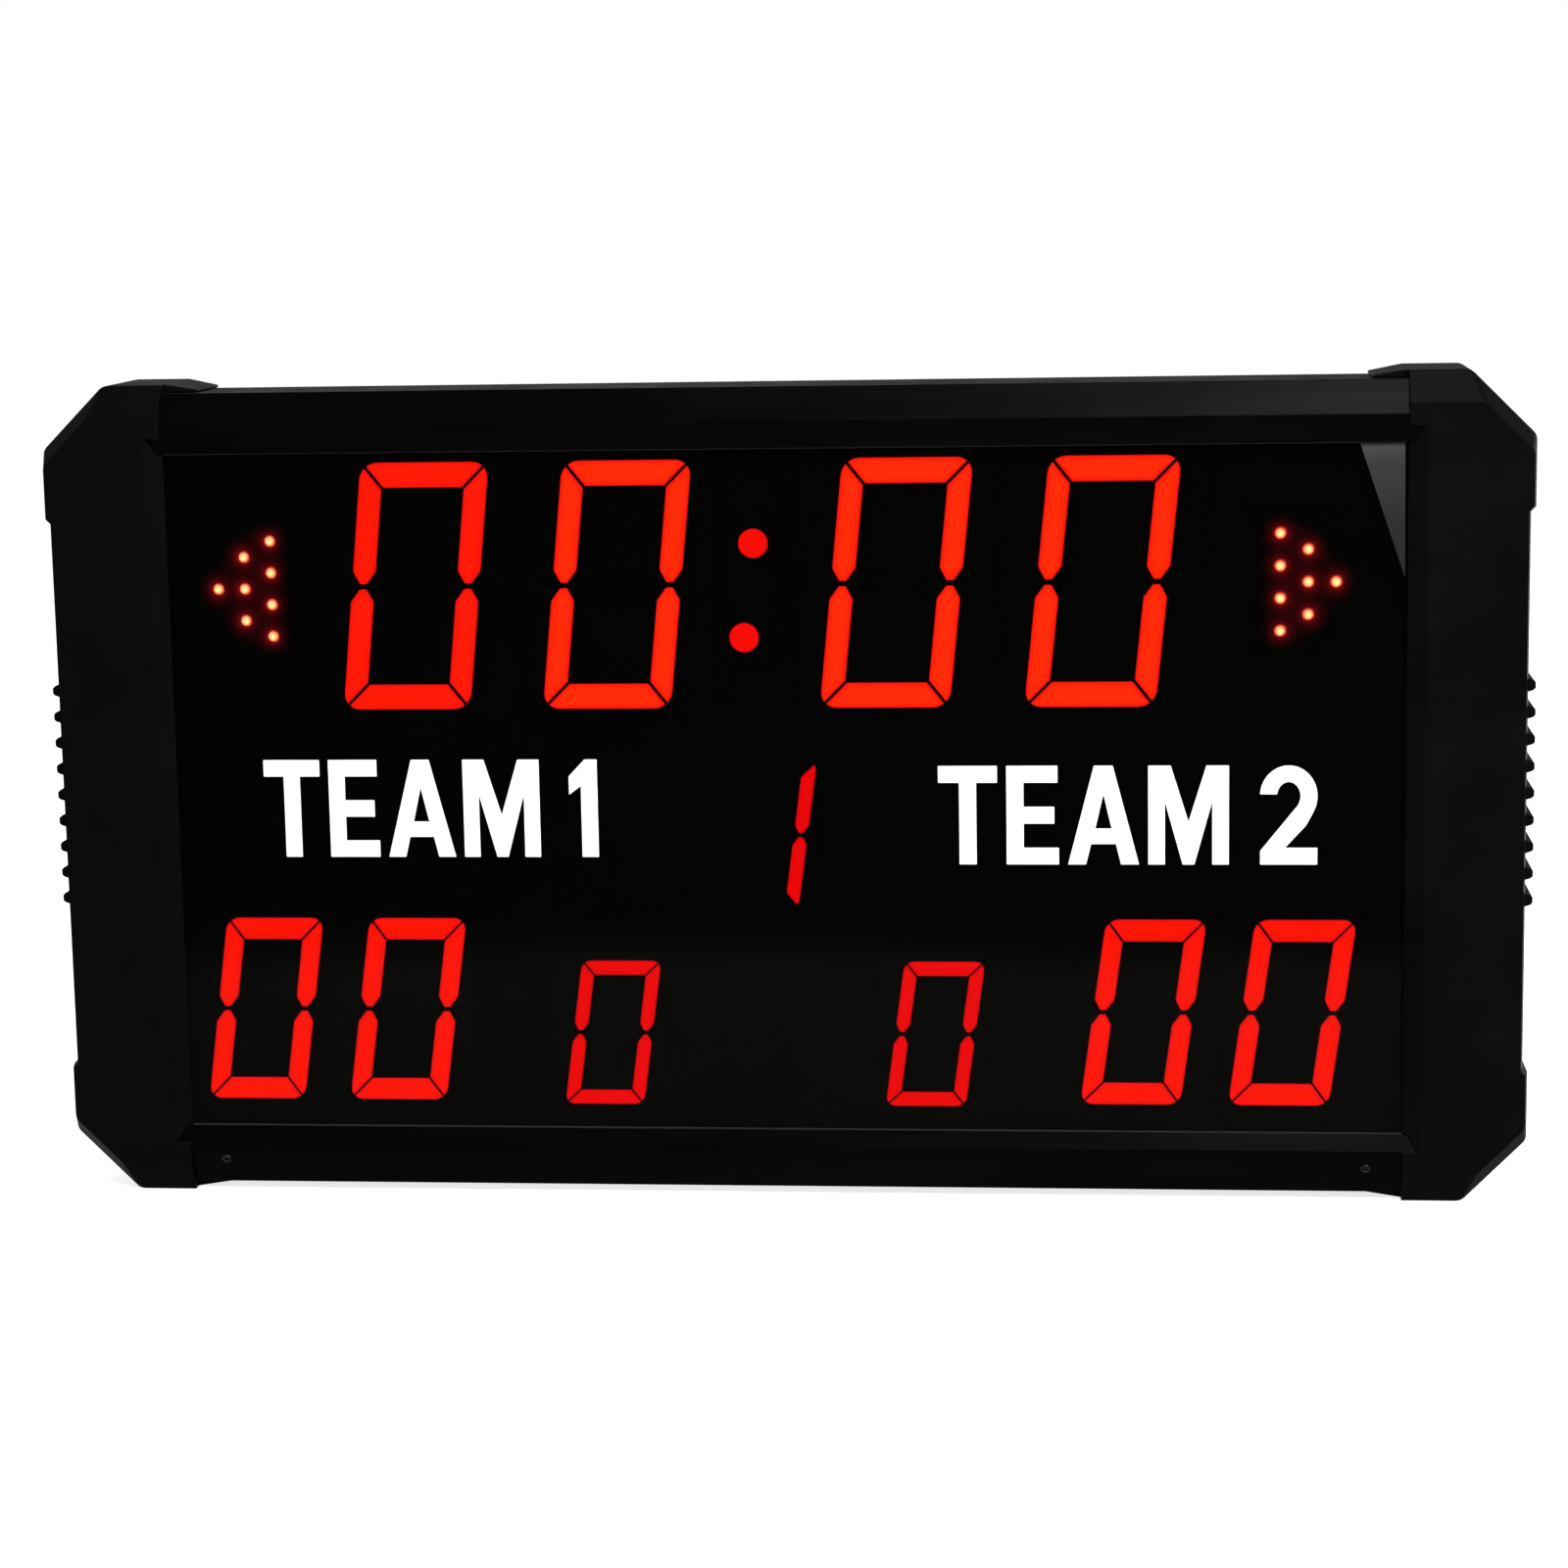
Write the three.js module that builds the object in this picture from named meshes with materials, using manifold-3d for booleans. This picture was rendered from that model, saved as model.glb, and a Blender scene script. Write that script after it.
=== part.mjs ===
import * as THREE from 'three';
import { mergeVertices } from 'three/addons/utils/BufferGeometryUtils.js';
import Module from 'manifold-3d';

const wasm = await Module();
wasm.setup();

// An electronic scoreboard: red seven-segment digits behind a smoked panel, held by two
// extruded rails and two moulded end caps, with swing-out feet behind.
// Millimetres. x runs to the viewer's right, y from front to back, z up from the caps' base.

// A digit's housing is as large as its leaning face and the borders round it
function withHousing(digit) {
  const lean = Math.tan(THREE.MathUtils.degToRad(digit.slant));
  const moduleWidth = digit.width + digit.height * lean + 2 * digit.borderBeside;
  const moduleHeight = digit.height + 2 * digit.borderAbove;
  return { ...digit, lean, moduleWidth, moduleHeight };
}

// Clearances and cutting allowances
const seatGap = 0.3;
const pinClearance = 0.1;
const cutOverrun = 1;
const joinOverlap = 0.5;
const weldDistance = 0.0001;

// End caps
const capWidth = 50;
const capWall = 3;
const cornerCut = 26;
const cornerRound = 5;
const blockHeight = 54.3;
const blockStep = 2;
const frontBevelDepth = 6;
const frontBevelHeight = 12.5;
const cutBevelWidth = 5;
const sideBevelWidth = 1.2;
const rearBevel = 3;
const innerBevelWidth = 7.3;
const innerBevelLip = 0.8;
const collarReach = 14;
const collarThinWall = 1;
const collarSetback = 11;
const ribCount = 9;
const ribPitch = 10.9;
const ribHeight = 2.9;
const ribBase = 5.2;
const ribTip = 2.2;
const ribShoulderRiseShare = 0.7;
const ribShoulderWidthShare = 0.76;
const ribSetback = 5;
const tongueLength = 24;
const bossRadius = 5;
const screwSeatDepth = 4;

// Rails
const railInset = 3.5;
const railEngagement = 18;
const ridgeSetback = 1.5;
const ridgeOffset = 13.4;
const ridgeLand = 4.6;
const railSlopeDepth = 5;
const lipReach = 6.5;
const lipDepth = 2.8;
const lipEdge = 0.8;
const railWall = 2;
const railBox = 16.5;
const portCentre = -2;
const portWebWidth = 8;

// Front panel, gaskets and display mask
const panelThickness = 3;
const panelEndCover = 10.5;
const gasketThickness = 0.8;
const gasketReveal = 0.5;
const maskThickness = 1.2;
const postRadius = 2.5;
const stakeRadius = 1.2;
const stakeTip = 0.8;
const boardThickness = 1.6;

// Seven-segment digits: sizes of the lit face, slant in degrees, and the housing's borders and depth
const clockFace = {
  height: 101.6, width: 52.9, bar: 10.3, stroke: 9.4, round: 7, split: 1.2, tipGap: 2.2,
  slant: 6, borderAbove: 4.2, borderBeside: 8.25, moduleDepth: 15,
};
const scoreFace = {
  height: 77.5, width: 40.9, bar: 9.1, stroke: 8, round: 5.4, split: 0.8, tipGap: 1.9,
  slant: 8, borderAbove: 5.25, borderBeside: 3.1, moduleDepth: 12,
};
const smallFace = {
  height: 61, width: 33.1, bar: 6, stroke: 5.7, round: 4, split: 0.7, tipGap: 1.8,
  slant: 8, borderAbove: 4.5, borderBeside: 2.15, moduleDepth: 12,
};
const clockDigit = withHousing(clockFace);
const scoreDigit = withHousing(scoreFace);
const smallDigit = withHousing(smallFace);
const tipWidthShare = 0.3;
const taperShare = 0.55;
const segmentRise = 0.4;

// Spaces between the modules, from the left cap to the right one
const leftMargin = 3.4;
const scoreModuleGap = 2.4;
const leftFoulGap = 34.2;
const foulSpacing = 88;
const rightFoulGap = 33.3;
const rightMargin = 15.4;
const clockCentre = -9.35;
const clockModuleGap = 3;
const colonSpacing = 33.9;
const periodCentre = -6.5;

// Spaces between the rows, from the bottom rail to the top one
const lowerMargin = 13.3;
const foulDrop = 9.6;
const rowGap = 13.4;
const upperMargin = 8.5;

// Colon
const colonCentre = -12.4;
const colonDrop = 2.6;
const colonDotSpacing = 38.4;
const colonLean = 4.3;
const colonDotRadius = 6;
const colonModuleWidth = 20;
const colonModuleHeight = 62;

// Possession arrows
const lampColumns = [4, 3, 1];
const lampPitch = 13.1;
const lampColumnPitch = 11.1;
const lampRadius = 2.4;
const lampDomeHeight = 2;
const lampWindow = 2.9;
const leftArrowGap = 20.5;
const arrowDrop = 0.7;
const rightArrowGap = 31;
const arrowBoardWidth = 38;
const arrowBoardHeight = 56;
const arrowBoardMargin = 7;

// Back cover
const backRecess = 9;
const coverThickness = 1.2;
const coverEdge = 3;
const coverScrewShare = 0.68;
const coverScrewInset = 8;
const boardPostHeight = 6;
const keyholeColumn = 180;
const keyholeDrop = 48;
const keyholeHeadRadius = 5;
const keyholeSlotWidth = 5;
const keyholeSlotRise = 12;
const ventCount = 12;
const ventPitch = 11;
const ventWidth = 3;
const ventHeight = 20;
const upperVentDrop = 26;
const lowerVentRise = 24;

// Screws
const coverScrew = { shank: 1.5, head: 2.9, headHeight: 1.4, length: 7 };
const capScrew = { shank: 1.6, head: 3.2, headHeight: 2, length: 30 };
const frontScrew = { shank: 1.1, head: 2.1, headHeight: 1, length: 6 };
const slotWidth = 0.8;
const slotDepthShare = 0.5;
const frontScrewInset = 14.8;
const frontScrewOffset = 11.2;

// Boards on the back cover
const mainBoardWidth = 150;
const mainBoardHeight = 74;
const mainBoardCentre = 0;
const mainBoardDrop = 12.5;
const regulatorWidth = 54;
const regulatorHeight = 60;
const regulatorGap = 26;
const regulatorDrop = 17;
const receiverWidth = 46;
const receiverHeight = 42;
const receiverGap = 26;
const receiverDrop = 26;
const boardMargin = 5;
const airGap = 2.8;
const headerWidth = 20;
const headerHeight = 6;
const headerDepth = 5;
const ribbonWidth = 18;
const ribbonThickness = 0.9;
const leadRadius = 1.3;
const antennaRadius = 2;
const antennaLength = 46;
const partWidth = 18;
const partRise = 3;
const canisterRadius = 5;
const canisterRise = 8;

// Horn
const hornRadius = 22;
const hornDepth = 13;
const hornFlange = 2;
const hornFlangeWidth = 4;
const hornDrop = 92;
const grilleRadius = 17;
const grilleSlots = 7;
const grillePitch = 4.6;
const grilleSlot = 2.2;

// Controls on the back cover
const controlLevel = 70;
const switchCentre = -38;
const jackCentre = 0;
const buttonCentre = 38;
const switchFlangeWidth = 15;
const switchFlangeHeight = 22.5;
const switchFlangeThickness = 1.8;
const switchBodyWidth = 13;
const switchBodyHeight = 20;
const switchBodyDepth = 13;
const switchWall = 1.4;
const switchWellDepth = 8;
const rockerHalfLength = 7.6;
const rockerAxisDepth = 2;
const rockerCrown = 3;
const rockerEnd = 4;
const rockerSkirt = 1.5;
const rockerKeelDepth = 4.5;
const rockerKeelHalf = 3.5;
const rockerTilt = 10;
const rockerPinRadius = 1.2;
const rockerPinLength = 0.7;
const jackBodyRadius = 5;
const jackFlangeRadius = 7;
const jackFlangeThickness = 2;
const jackDepth = 12;
const jackBoreRadius = 2.9;
const jackBoreDepth = 10;
const jackPinRadius = 1;
const jackPinLength = 8.5;
const jackNutRadius = 7.6;
const jackNutThickness = 2.4;
const buttonRadius = 4;
const buttonProud = 2.2;
const buttonShoulder = 4.9;
const buttonShoulderThickness = 1.2;
const buttonFlangeRadius = 7.5;
const buttonFlangeThickness = 1.6;
const buttonBodyRadius = 6.2;
const buttonBodyDepth = 10;
const buttonLip = 2;
const buttonTravel = 1.2;

// Rear feet
const footInset = 22.5;
const footThickness = 2.5;
const footLength = 95;
const footTipHeight = 20;
const footTipRound = 7;
const barrelRadius = 3.4;
const barrelLow = 9;
const barrelHigh = 87;
const footStep = 7;
const footShoulder = 13;
const hingePinRadius = 2;
const hingePinHead = 3.2;
const hingePinHeadHeight = 1.5;
const hingePinTail = 0.8;
const bracketPlate = 1.2;
const bracketWidth = 26;
const lugThickness = 3;
const rivetColumn = 9;
const rivetInset = 19;
const rivetRadius = 1.6;
const rivetHead = 2.8;
const rivetHeadHeight = 1;
const padWidth = 6;
const padHeight = 7;
const padSole = 2.5;
const padStart = 16;
const padEnd = 1.4;

// Places across the face: the score row sets the width unless the clock row is wider
const scorePitch = scoreDigit.moduleWidth + scoreModuleGap;
const scorePairWidth = scorePitch + scoreDigit.moduleWidth;
const scoreRow = leftMargin + scorePairWidth + leftFoulGap + 2 * smallDigit.moduleWidth + foulSpacing
  + rightFoulGap + scorePairWidth + rightMargin;
const leftScoreCentre = -scoreRow / 2 + leftMargin + scorePairWidth / 2;
const leftFoulCentre = leftScoreCentre + scorePairWidth / 2 + leftFoulGap + smallDigit.moduleWidth / 2;
const rightFoulCentre = leftFoulCentre + smallDigit.moduleWidth + foulSpacing;
const rightScoreCentre = rightFoulCentre + smallDigit.moduleWidth / 2 + rightFoulGap + scorePairWidth / 2;
const clockPitch = clockDigit.moduleWidth + clockModuleGap;
const clockSpan = clockDigit.moduleWidth + colonSpacing;
const clockRowHalf = clockSpan / 2 + clockPitch + clockDigit.moduleWidth / 2;
const leftArrowBase = clockCentre - clockRowHalf - leftArrowGap;
const rightArrowBase = clockCentre + clockRowHalf + rightArrowGap;
const arrowReach = arrowBoardWidth - arrowBoardMargin + boardMargin;
const clockReach = Math.max(arrowReach - leftArrowBase, arrowReach + rightArrowBase);
const capInner = Math.max(scoreRow / 2, clockReach);
const faceHalf = capInner + capWidth;
const footColumn = capInner - collarReach - footInset;
const frontScrewColumn = capInner - frontScrewInset;

// Heights of the rows, from the bottom rail upwards
const scoreHeight = railInset + railBox + lowerMargin + scoreDigit.moduleHeight / 2;
const foulHeight = scoreHeight - foulDrop;
const periodHeight = foulHeight + smallDigit.moduleHeight + rowGap;
const clockHeight = periodHeight + smallDigit.moduleHeight / 2 + rowGap + clockDigit.moduleHeight / 2;
const colonHeight = clockHeight - colonDrop;
const arrowHeight = clockHeight - arrowDrop;
const boardHeight = clockHeight + clockDigit.moduleHeight / 2 + upperMargin + railBox + railInset;
const mainBoardLevel = clockHeight - mainBoardDrop;
const regulatorLevel = mainBoardLevel - regulatorDrop;
const receiverLevel = mainBoardLevel - receiverDrop;
const regulatorCentre = mainBoardCentre + mainBoardWidth / 2 + regulatorGap + regulatorWidth / 2;
const receiverCentre = mainBoardCentre - mainBoardWidth / 2 - receiverGap - receiverWidth / 2;
const hornLevel = mainBoardLevel - hornDrop;
const keyholeHeight = boardHeight - keyholeDrop;
const ventLows = [boardHeight - upperVentDrop - ventHeight, lowerVentRise];

// Depth of the stack of pieces from the rails' ridges to the cap's rear face
const displayStack = lipDepth + lipEdge + seatGap + gasketThickness + seatGap + panelThickness + seatGap
  + segmentRise + clockDigit.moduleDepth + seatGap + boardThickness;
const rearStack = canisterRise + boardThickness + seatGap + boardPostHeight + coverThickness;
const capDepth = ridgeSetback + displayStack + airGap + rearStack + backRecess;

// Derived places
const capFront = -capDepth / 2;
const capRear = capDepth / 2;
const recessSide = faceHalf - blockStep;
const capInside = recessSide - capWall;
const screwSeat = faceHalf - cornerCut + railInset + railBox / 2 - screwSeatDepth - capScrew.head;
const ridgeFace = capFront + ridgeSetback;
const railEdgeFace = ridgeFace + railSlopeDepth;
const grooveFront = ridgeFace + lipDepth + lipEdge;
const panelFront = grooveFront + seatGap + gasketThickness + seatGap;
const panelRear = panelFront + panelThickness;
const maskFront = panelRear + seatGap;
const maskRear = maskFront + maskThickness;
const grooveRear = maskRear + seatGap;
const lipStart = ridgeOffset + ridgeLand;
const lipEnd = lipStart + lipReach;
const coverOuter = capRear - backRecess;
const coverInner = coverOuter - coverThickness;
const railRear = coverInner - seatGap;
const railEnd = capInner + railEngagement;
const panelHalf = capInner + panelEndCover;
const panelEdge = railBox + seatGap;
const coverHalf = capInner - seatGap;
const coverScrewColumn = coverHalf * coverScrewShare;
const coverLow = railInset + coverEdge;
const coverHigh = boardHeight - railInset - coverEdge;
const moduleFace = maskFront + segmentRise;
const portLevel = railBox / 2;
const hingeLine = coverOuter + seatGap + bracketPlate + seatGap + barrelRadius;
const lugLow = barrelLow - seatGap - lugThickness;
const lugHigh = barrelHigh + seatGap + lugThickness;
const footEnd = footLength + seatGap + padEnd;
const clockBoardFront = moduleFace + clockDigit.moduleDepth + seatGap;
const scoreBoardFront = moduleFace + scoreDigit.moduleDepth + seatGap;
const mainBoardRear = coverInner - boardPostHeight - seatGap;
const mainBoardFront = mainBoardRear - boardThickness;

// Counts for round shapes
const roundSides = 24;
const pinSides = 32;
const smallSides = 12;
const roundSteps = 3;

// Finishes
const finishes = {
  capPlastic: { color: 0x1b1b1c, roughness: 0.75, metalness: 0 },
  railMetal: { color: 0x2a2b2d, roughness: 0.5, metalness: 0.6 },
  smokedPanel: { color: 0x0b0b0c, roughness: 0.08, metalness: 0, transparent: true, opacity: 0.5 },
  blackRubber: { color: 0x141414, roughness: 0.9, metalness: 0 },
  maskSheet: { color: 0x0a0a0a, roughness: 0.8, metalness: 0 },
  redDisplay: { color: 0xd0180c, roughness: 0.5, metalness: 0 },
  circuitBoard: { color: 0x1d4a2c, roughness: 0.6, metalness: 0 },
  coverSheet: { color: 0x222325, roughness: 0.6, metalness: 0.4 },
  blackScrew: { color: 0x303030, roughness: 0.45, metalness: 0.8 },
  steel: { color: 0x9a9c9f, roughness: 0.4, metalness: 0.9 },
  footSteel: { color: 0x1e1e20, roughness: 0.55, metalness: 0.5 },
  switchPlastic: { color: 0x101011, roughness: 0.4, metalness: 0 },
  buttonPlastic: { color: 0xa8241c, roughness: 0.4, metalness: 0 },
  hornPlastic: { color: 0x18181a, roughness: 0.6, metalness: 0 },
  ribbonGrey: { color: 0x8b8d90, roughness: 0.6, metalness: 0 },
  leadRed: { color: 0x8e1d18, roughness: 0.5, metalness: 0 },
};

// Outlines are lists of [across, up] points in one plane
function rectangle(left, right, low, high) {
  return [[left, low], [right, low], [right, high], [left, high]];
}

function disc(across, up, radius, sides = roundSides) {
  const points = [];
  for (let i = 0; i < sides; i++) {
    const angle = (i + 1 / 2) * 2 * Math.PI / sides;
    points.push([across + radius * Math.cos(angle), up + radius * Math.sin(angle)]);
  }
  return points;
}

function signedArea(points) {
  let area = 0;
  points.forEach(([a, b], i) => {
    const [c, d] = points[(i + 1) % points.length];
    area += (a * d - b * c) / 2;
  });
  return area;
}

// Moves each edge inwards by its own inset and meets the neighbours again
function insetOutline(points, insets) {
  const count = points.length;
  const side = Math.sign(signedArea(points));
  const lines = points.map(([a, b], i) => {
    const [c, d] = points[(i + 1) % count];
    const length = Math.hypot(c - a, d - b);
    const along = [(c - a) / length, (d - b) / length];
    const inset = Array.isArray(insets) ? insets[i] : insets;
    return { from: [a - along[1] * inset * side, b + along[0] * inset * side], along };
  });
  return lines.map((line, i) => {
    const before = lines[(i + count - 1) % count];
    const cross = before.along[0] * line.along[1] - before.along[1] * line.along[0];
    const gap = [line.from[0] - before.from[0], line.from[1] - before.from[1]];
    const reach = (gap[0] * line.along[1] - gap[1] * line.along[0]) / cross;
    return [before.from[0] + before.along[0] * reach, before.from[1] + before.along[1] * reach];
  });
}

// Rounds the corners whose radius is above zero with a short curve
function roundOutline(points, radii) {
  const rounded = [];
  points.forEach((point, i) => {
    const radius = radii[i];
    if (radius === 0) {
      rounded.push(point);
      return;
    }
    const corner = new THREE.Vector2(...point);
    const before = new THREE.Vector2(...points[(i + points.length - 1) % points.length]);
    const after = new THREE.Vector2(...points[(i + 1) % points.length]);
    const back = before.sub(corner).normalize();
    const ahead = after.sub(corner).normalize();
    const reach = radius / Math.tan(Math.acos(back.dot(ahead)) / 2);
    const start = corner.clone().addScaledVector(back, reach);
    const end = corner.clone().addScaledVector(ahead, reach);
    const curve = new THREE.QuadraticBezierCurve(start, corner, end);
    curve.getPoints(roundSteps).forEach((p) => rounded.push([p.x, p.y]));
  });
  return rounded;
}

// Prisms: an outline in the plane across an axis, carried along that axis
function prism(outline, depth, across, up) {
  const shape = new THREE.Shape(outline.map((p) => new THREE.Vector2(...p)));
  const geometry = new THREE.ExtrudeGeometry(shape, { depth, bevelEnabled: false });
  const along = new THREE.Vector3().crossVectors(across, up);
  return geometry.applyMatrix4(new THREE.Matrix4().makeBasis(across, up, along));
}

const unitX = new THREE.Vector3(1, 0, 0);
const unitY = new THREE.Vector3(0, 1, 0);
const unitZ = new THREE.Vector3(0, 0, 1);

function prismX(outline, start, end) {
  return prism(outline, end - start, unitY, unitZ).translate(start, 0, 0);
}

function prismY(outline, start, end) {
  return prism(outline, end - start, unitX, unitZ).translate(0, end, 0);
}

function prismZ(outline, start, end) {
  return prism(outline, end - start, unitX, unitY).translate(0, 0, start);
}

function block(left, right, front, back, low, high) {
  const geometry = new THREE.BoxGeometry(right - left, back - front, high - low);
  return geometry.translate((left + right) / 2, (front + back) / 2, (low + high) / 2);
}

function rodX(start, end, y, z, radius, sides = roundSides) {
  return prismX(disc(y, z, radius, sides), start, end);
}

function rodY(x, start, end, z, radius, sides = roundSides) {
  return prismY(disc(x, z, radius, sides), start, end);
}

function rodZ(x, y, start, end, radius, sides = roundSides) {
  return prismZ(disc(x, y, radius, sides), start, end);
}

// Booleans
function cleaned(geometry) {
  const bare = geometry.clone();
  bare.deleteAttribute('normal');
  if (bare.getAttribute('uv')) bare.deleteAttribute('uv');
  const merged = mergeVertices(bare, weldDistance);
  const index = merged.index.array;
  const kept = [];
  for (let i = 0; i < index.length; i += 3) {
    const [a, b, c] = [index[i], index[i + 1], index[i + 2]];
    if (a !== b && b !== c && c !== a) kept.push(a, b, c);
  }
  merged.setIndex(kept);
  return merged;
}

function solid(geometry) {
  const clean = cleaned(geometry);
  const vertProperties = new Float32Array(clean.getAttribute('position').array);
  const triVerts = new Uint32Array(clean.index.array);
  return new wasm.Manifold(new wasm.Mesh({ numProp: 3, vertProperties, triVerts }));
}

function geometryOf(manifold) {
  const mesh = manifold.getMesh();
  const geometry = new THREE.BufferGeometry();
  geometry.setAttribute('position', new THREE.BufferAttribute(new Float32Array(mesh.vertProperties), 3));
  geometry.setIndex(new THREE.BufferAttribute(new Uint32Array(mesh.triVerts), 1));
  geometry.computeVertexNormals();
  return geometry;
}

function joined(base, additions) {
  return additions.reduce((sum, geometry) => sum.add(solid(geometry)), base);
}

function cutBy(base, tools) {
  return tools.reduce((rest, geometry) => rest.subtract(solid(geometry)), base);
}

// A sheet or bar with holes right through it along x or y
function pierced(shape, outline, start, end, holes) {
  const tools = holes.map((hole) => shape(hole, start - cutOverrun, end + cutOverrun));
  return cutBy(solid(shape(outline, start, end)), tools);
}

// A closed body through sections that have equal numbers of points, each at its own depth
function loftY(sections) {
  const positions = [];
  const index = [];
  const count = sections[0].outline.length;
  sections.forEach(({ outline, y }) => outline.forEach(([x, z]) => positions.push(x, y, z)));
  for (let s = 0; s + 1 < sections.length; s++) {
    for (let i = 0; i < count; i++) {
      const a = s * count + i;
      const b = s * count + (i + 1) % count;
      index.push(a, b, b + count, a, b + count, a + count);
    }
  }
  const last = sections.length - 1;
  [0, last].forEach((s) => {
    const contour = sections[s].outline.map((p) => new THREE.Vector2(...p));
    THREE.ShapeUtils.triangulateShape(contour, []).forEach(([a, b, c]) => {
      const face = s === 0 ? [a, c, b] : [a, b, c];
      index.push(...face.map((v) => v + s * count));
    });
  });
  if (signedArea(sections[0].outline) > 0) index.reverse();
  const geometry = new THREE.BufferGeometry();
  geometry.setAttribute('position', new THREE.Float32BufferAttribute(positions, 3));
  geometry.setIndex(index);
  geometry.computeVertexNormals();
  return geometry;
}

const board = new THREE.Group();

function addPiece(name, shape, finish) {
  const geometry = shape.isBufferGeometry ? shape : geometryOf(shape);
  const mesh = new THREE.Mesh(geometry, new THREE.MeshStandardMaterial(finishes[finish]));
  mesh.name = name;
  board.add(mesh);
  return mesh;
}

// Rails. A section is drawn as [y, distance from the rail's outer face] and set at the top or the bottom.
function atRail(points, top) {
  return points.map(([y, offset]) => [y, top ? boardHeight - railInset - offset : railInset + offset]);
}

function railFace(offset) {
  return railEdgeFace - railSlopeDepth * Math.min(offset / ridgeOffset, 1);
}

function railSkin() {
  return [
    [railEdgeFace, 0],
    [ridgeFace, ridgeOffset],
    [ridgeFace, lipStart],
    [ridgeFace + lipDepth, lipEnd],
  ];
}

function railOutline() {
  return [
    ...railSkin(),
    [grooveFront, lipEnd],
    [grooveFront, railBox],
    [grooveRear, railBox],
    [grooveRear, lipEnd],
    [grooveRear + railWall, lipEnd],
    [grooveRear + railWall, railBox],
    [railRear, railBox],
    [railRear, 0],
  ];
}

function railEnvelope() {
  const outline = [...railSkin(), [grooveRear + railWall, lipEnd], [grooveRear + railWall, railBox],
    [railRear, railBox], [railRear, 0]];
  return insetOutline(outline, -seatGap);
}

function frontHollow() {
  const web = portCentre - portWebWidth / 2;
  return [
    [railFace(railWall) + railWall, railWall],
    [web, railWall],
    [web, railBox - railWall],
    [railFace(railBox - railWall) + railWall, railBox - railWall],
    ...(ridgeOffset < railBox - railWall ? [[ridgeFace + railWall, ridgeOffset]] : []),
  ];
}

function rearHollow() {
  return rectangle(portCentre + portWebWidth / 2, railRear - railWall, railWall, railBox - railWall);
}

const frontScrewTilt = Math.atan2(railSlopeDepth, ridgeOffset);

// A straight cutter that follows the front screw's tilted line
function frontScrewCut(column, top) {
  const reach = frontScrew.length + cutOverrun;
  const tilt = top ? -frontScrewTilt : frontScrewTilt;
  const [[y, z]] = atRail([[railFace(frontScrewOffset), frontScrewOffset]], top);
  const cutter = rodY(0, -reach, reach, 0, frontScrew.shank + seatGap, smallSides);
  return cutter.rotateX(tilt).translate(column, y, z);
}

function makeRail(top) {
  const port = disc(portCentre, portLevel, capScrew.shank + seatGap, smallSides);
  const holes = [frontHollow(), port, rearHollow()].map((hole) => atRail(hole, top));
  let rail = pierced(prismX, atRail(railOutline(), top), -railEnd, railEnd, holes);
  const screwLevel = atRail([[0, coverScrewInset]], top)[0][1];
  const drills = [-coverScrewColumn, 0, coverScrewColumn].map((x) => (
    rodY(x, railRear - railWall - cutOverrun, railRear + cutOverrun, screwLevel,
      coverScrew.shank + seatGap, smallSides)));
  rail = cutBy(rail, drills);
  if (!top) {
    rail = cutBy(rail, [-1, 1].map((side) => frontScrewCut(side * frontScrewColumn, top)));
  }
  return rail;
}

// End cap, drawn for the right side; the left one is the same moulding turned upside down
function capOutline(insets) {
  const corners = [
    [capInner, 0],
    [faceHalf - cornerCut, 0],
    [faceHalf, cornerCut],
    [faceHalf, blockHeight],
    [recessSide, blockHeight + blockStep],
    [recessSide, boardHeight - blockHeight - blockStep],
    [faceHalf, boardHeight - blockHeight],
    [faceHalf, boardHeight - cornerCut],
    [faceHalf - cornerCut, boardHeight],
    [capInner, boardHeight],
  ];
  const radii = [0, cornerRound, cornerRound, 0, 0, 0, 0, cornerRound, cornerRound, 0];
  return roundOutline(insetOutline(corners, insets), radii);
}

// The cap's bevelled form, or with a wall the same form drawn in by that wall
function capForm(wall) {
  const s = sideBevelWidth;
  const frontInsets = [frontBevelHeight, cutBevelWidth, s, s, s, s, s, cutBevelWidth, frontBevelHeight, 0];
  const drawnIn = (insets) => insets.map((inset, i) => (i === insets.length - 1 ? 0 : inset + wall));
  return loftY([
    { outline: capOutline(drawnIn(frontInsets)), y: capFront + wall },
    { outline: capOutline(drawnIn(frontInsets.map(() => 0))), y: capFront + frontBevelDepth + wall / 2 },
    { outline: capOutline(drawnIn(frontInsets.map(() => 0))), y: capRear - rearBevel - wall / 2 },
    { outline: capOutline(drawnIn(frontInsets.map(() => rearBevel))), y: capRear - wall },
  ]);
}

// The collar is a thin sleeve over the rails' ends that tapers away from the cap
function collarSection(rear, low) {
  const front = capFront + collarSetback;
  const high = boardHeight - low;
  return [
    [front, low],
    [rear - rearBevel, low],
    [rear, low + rearBevel],
    [rear, high - rearBevel],
    [rear - rearBevel, high],
    [front, high],
  ];
}

function capCollar() {
  const thin = collarSection(coverOuter + seatGap + collarThinWall, railInset - seatGap - collarThinWall);
  const thick = collarSection(capRear, 0);
  const taper = loftY([
    { outline: thin, y: capInner - collarReach },
    { outline: thick, y: capInner },
    { outline: thick, y: capInner + capWall },
  ]);
  taper.applyMatrix4(new THREE.Matrix4().makeBasis(unitY, unitX, unitZ));
  return taper.setIndex([...taper.index.array].reverse());
}

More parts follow.
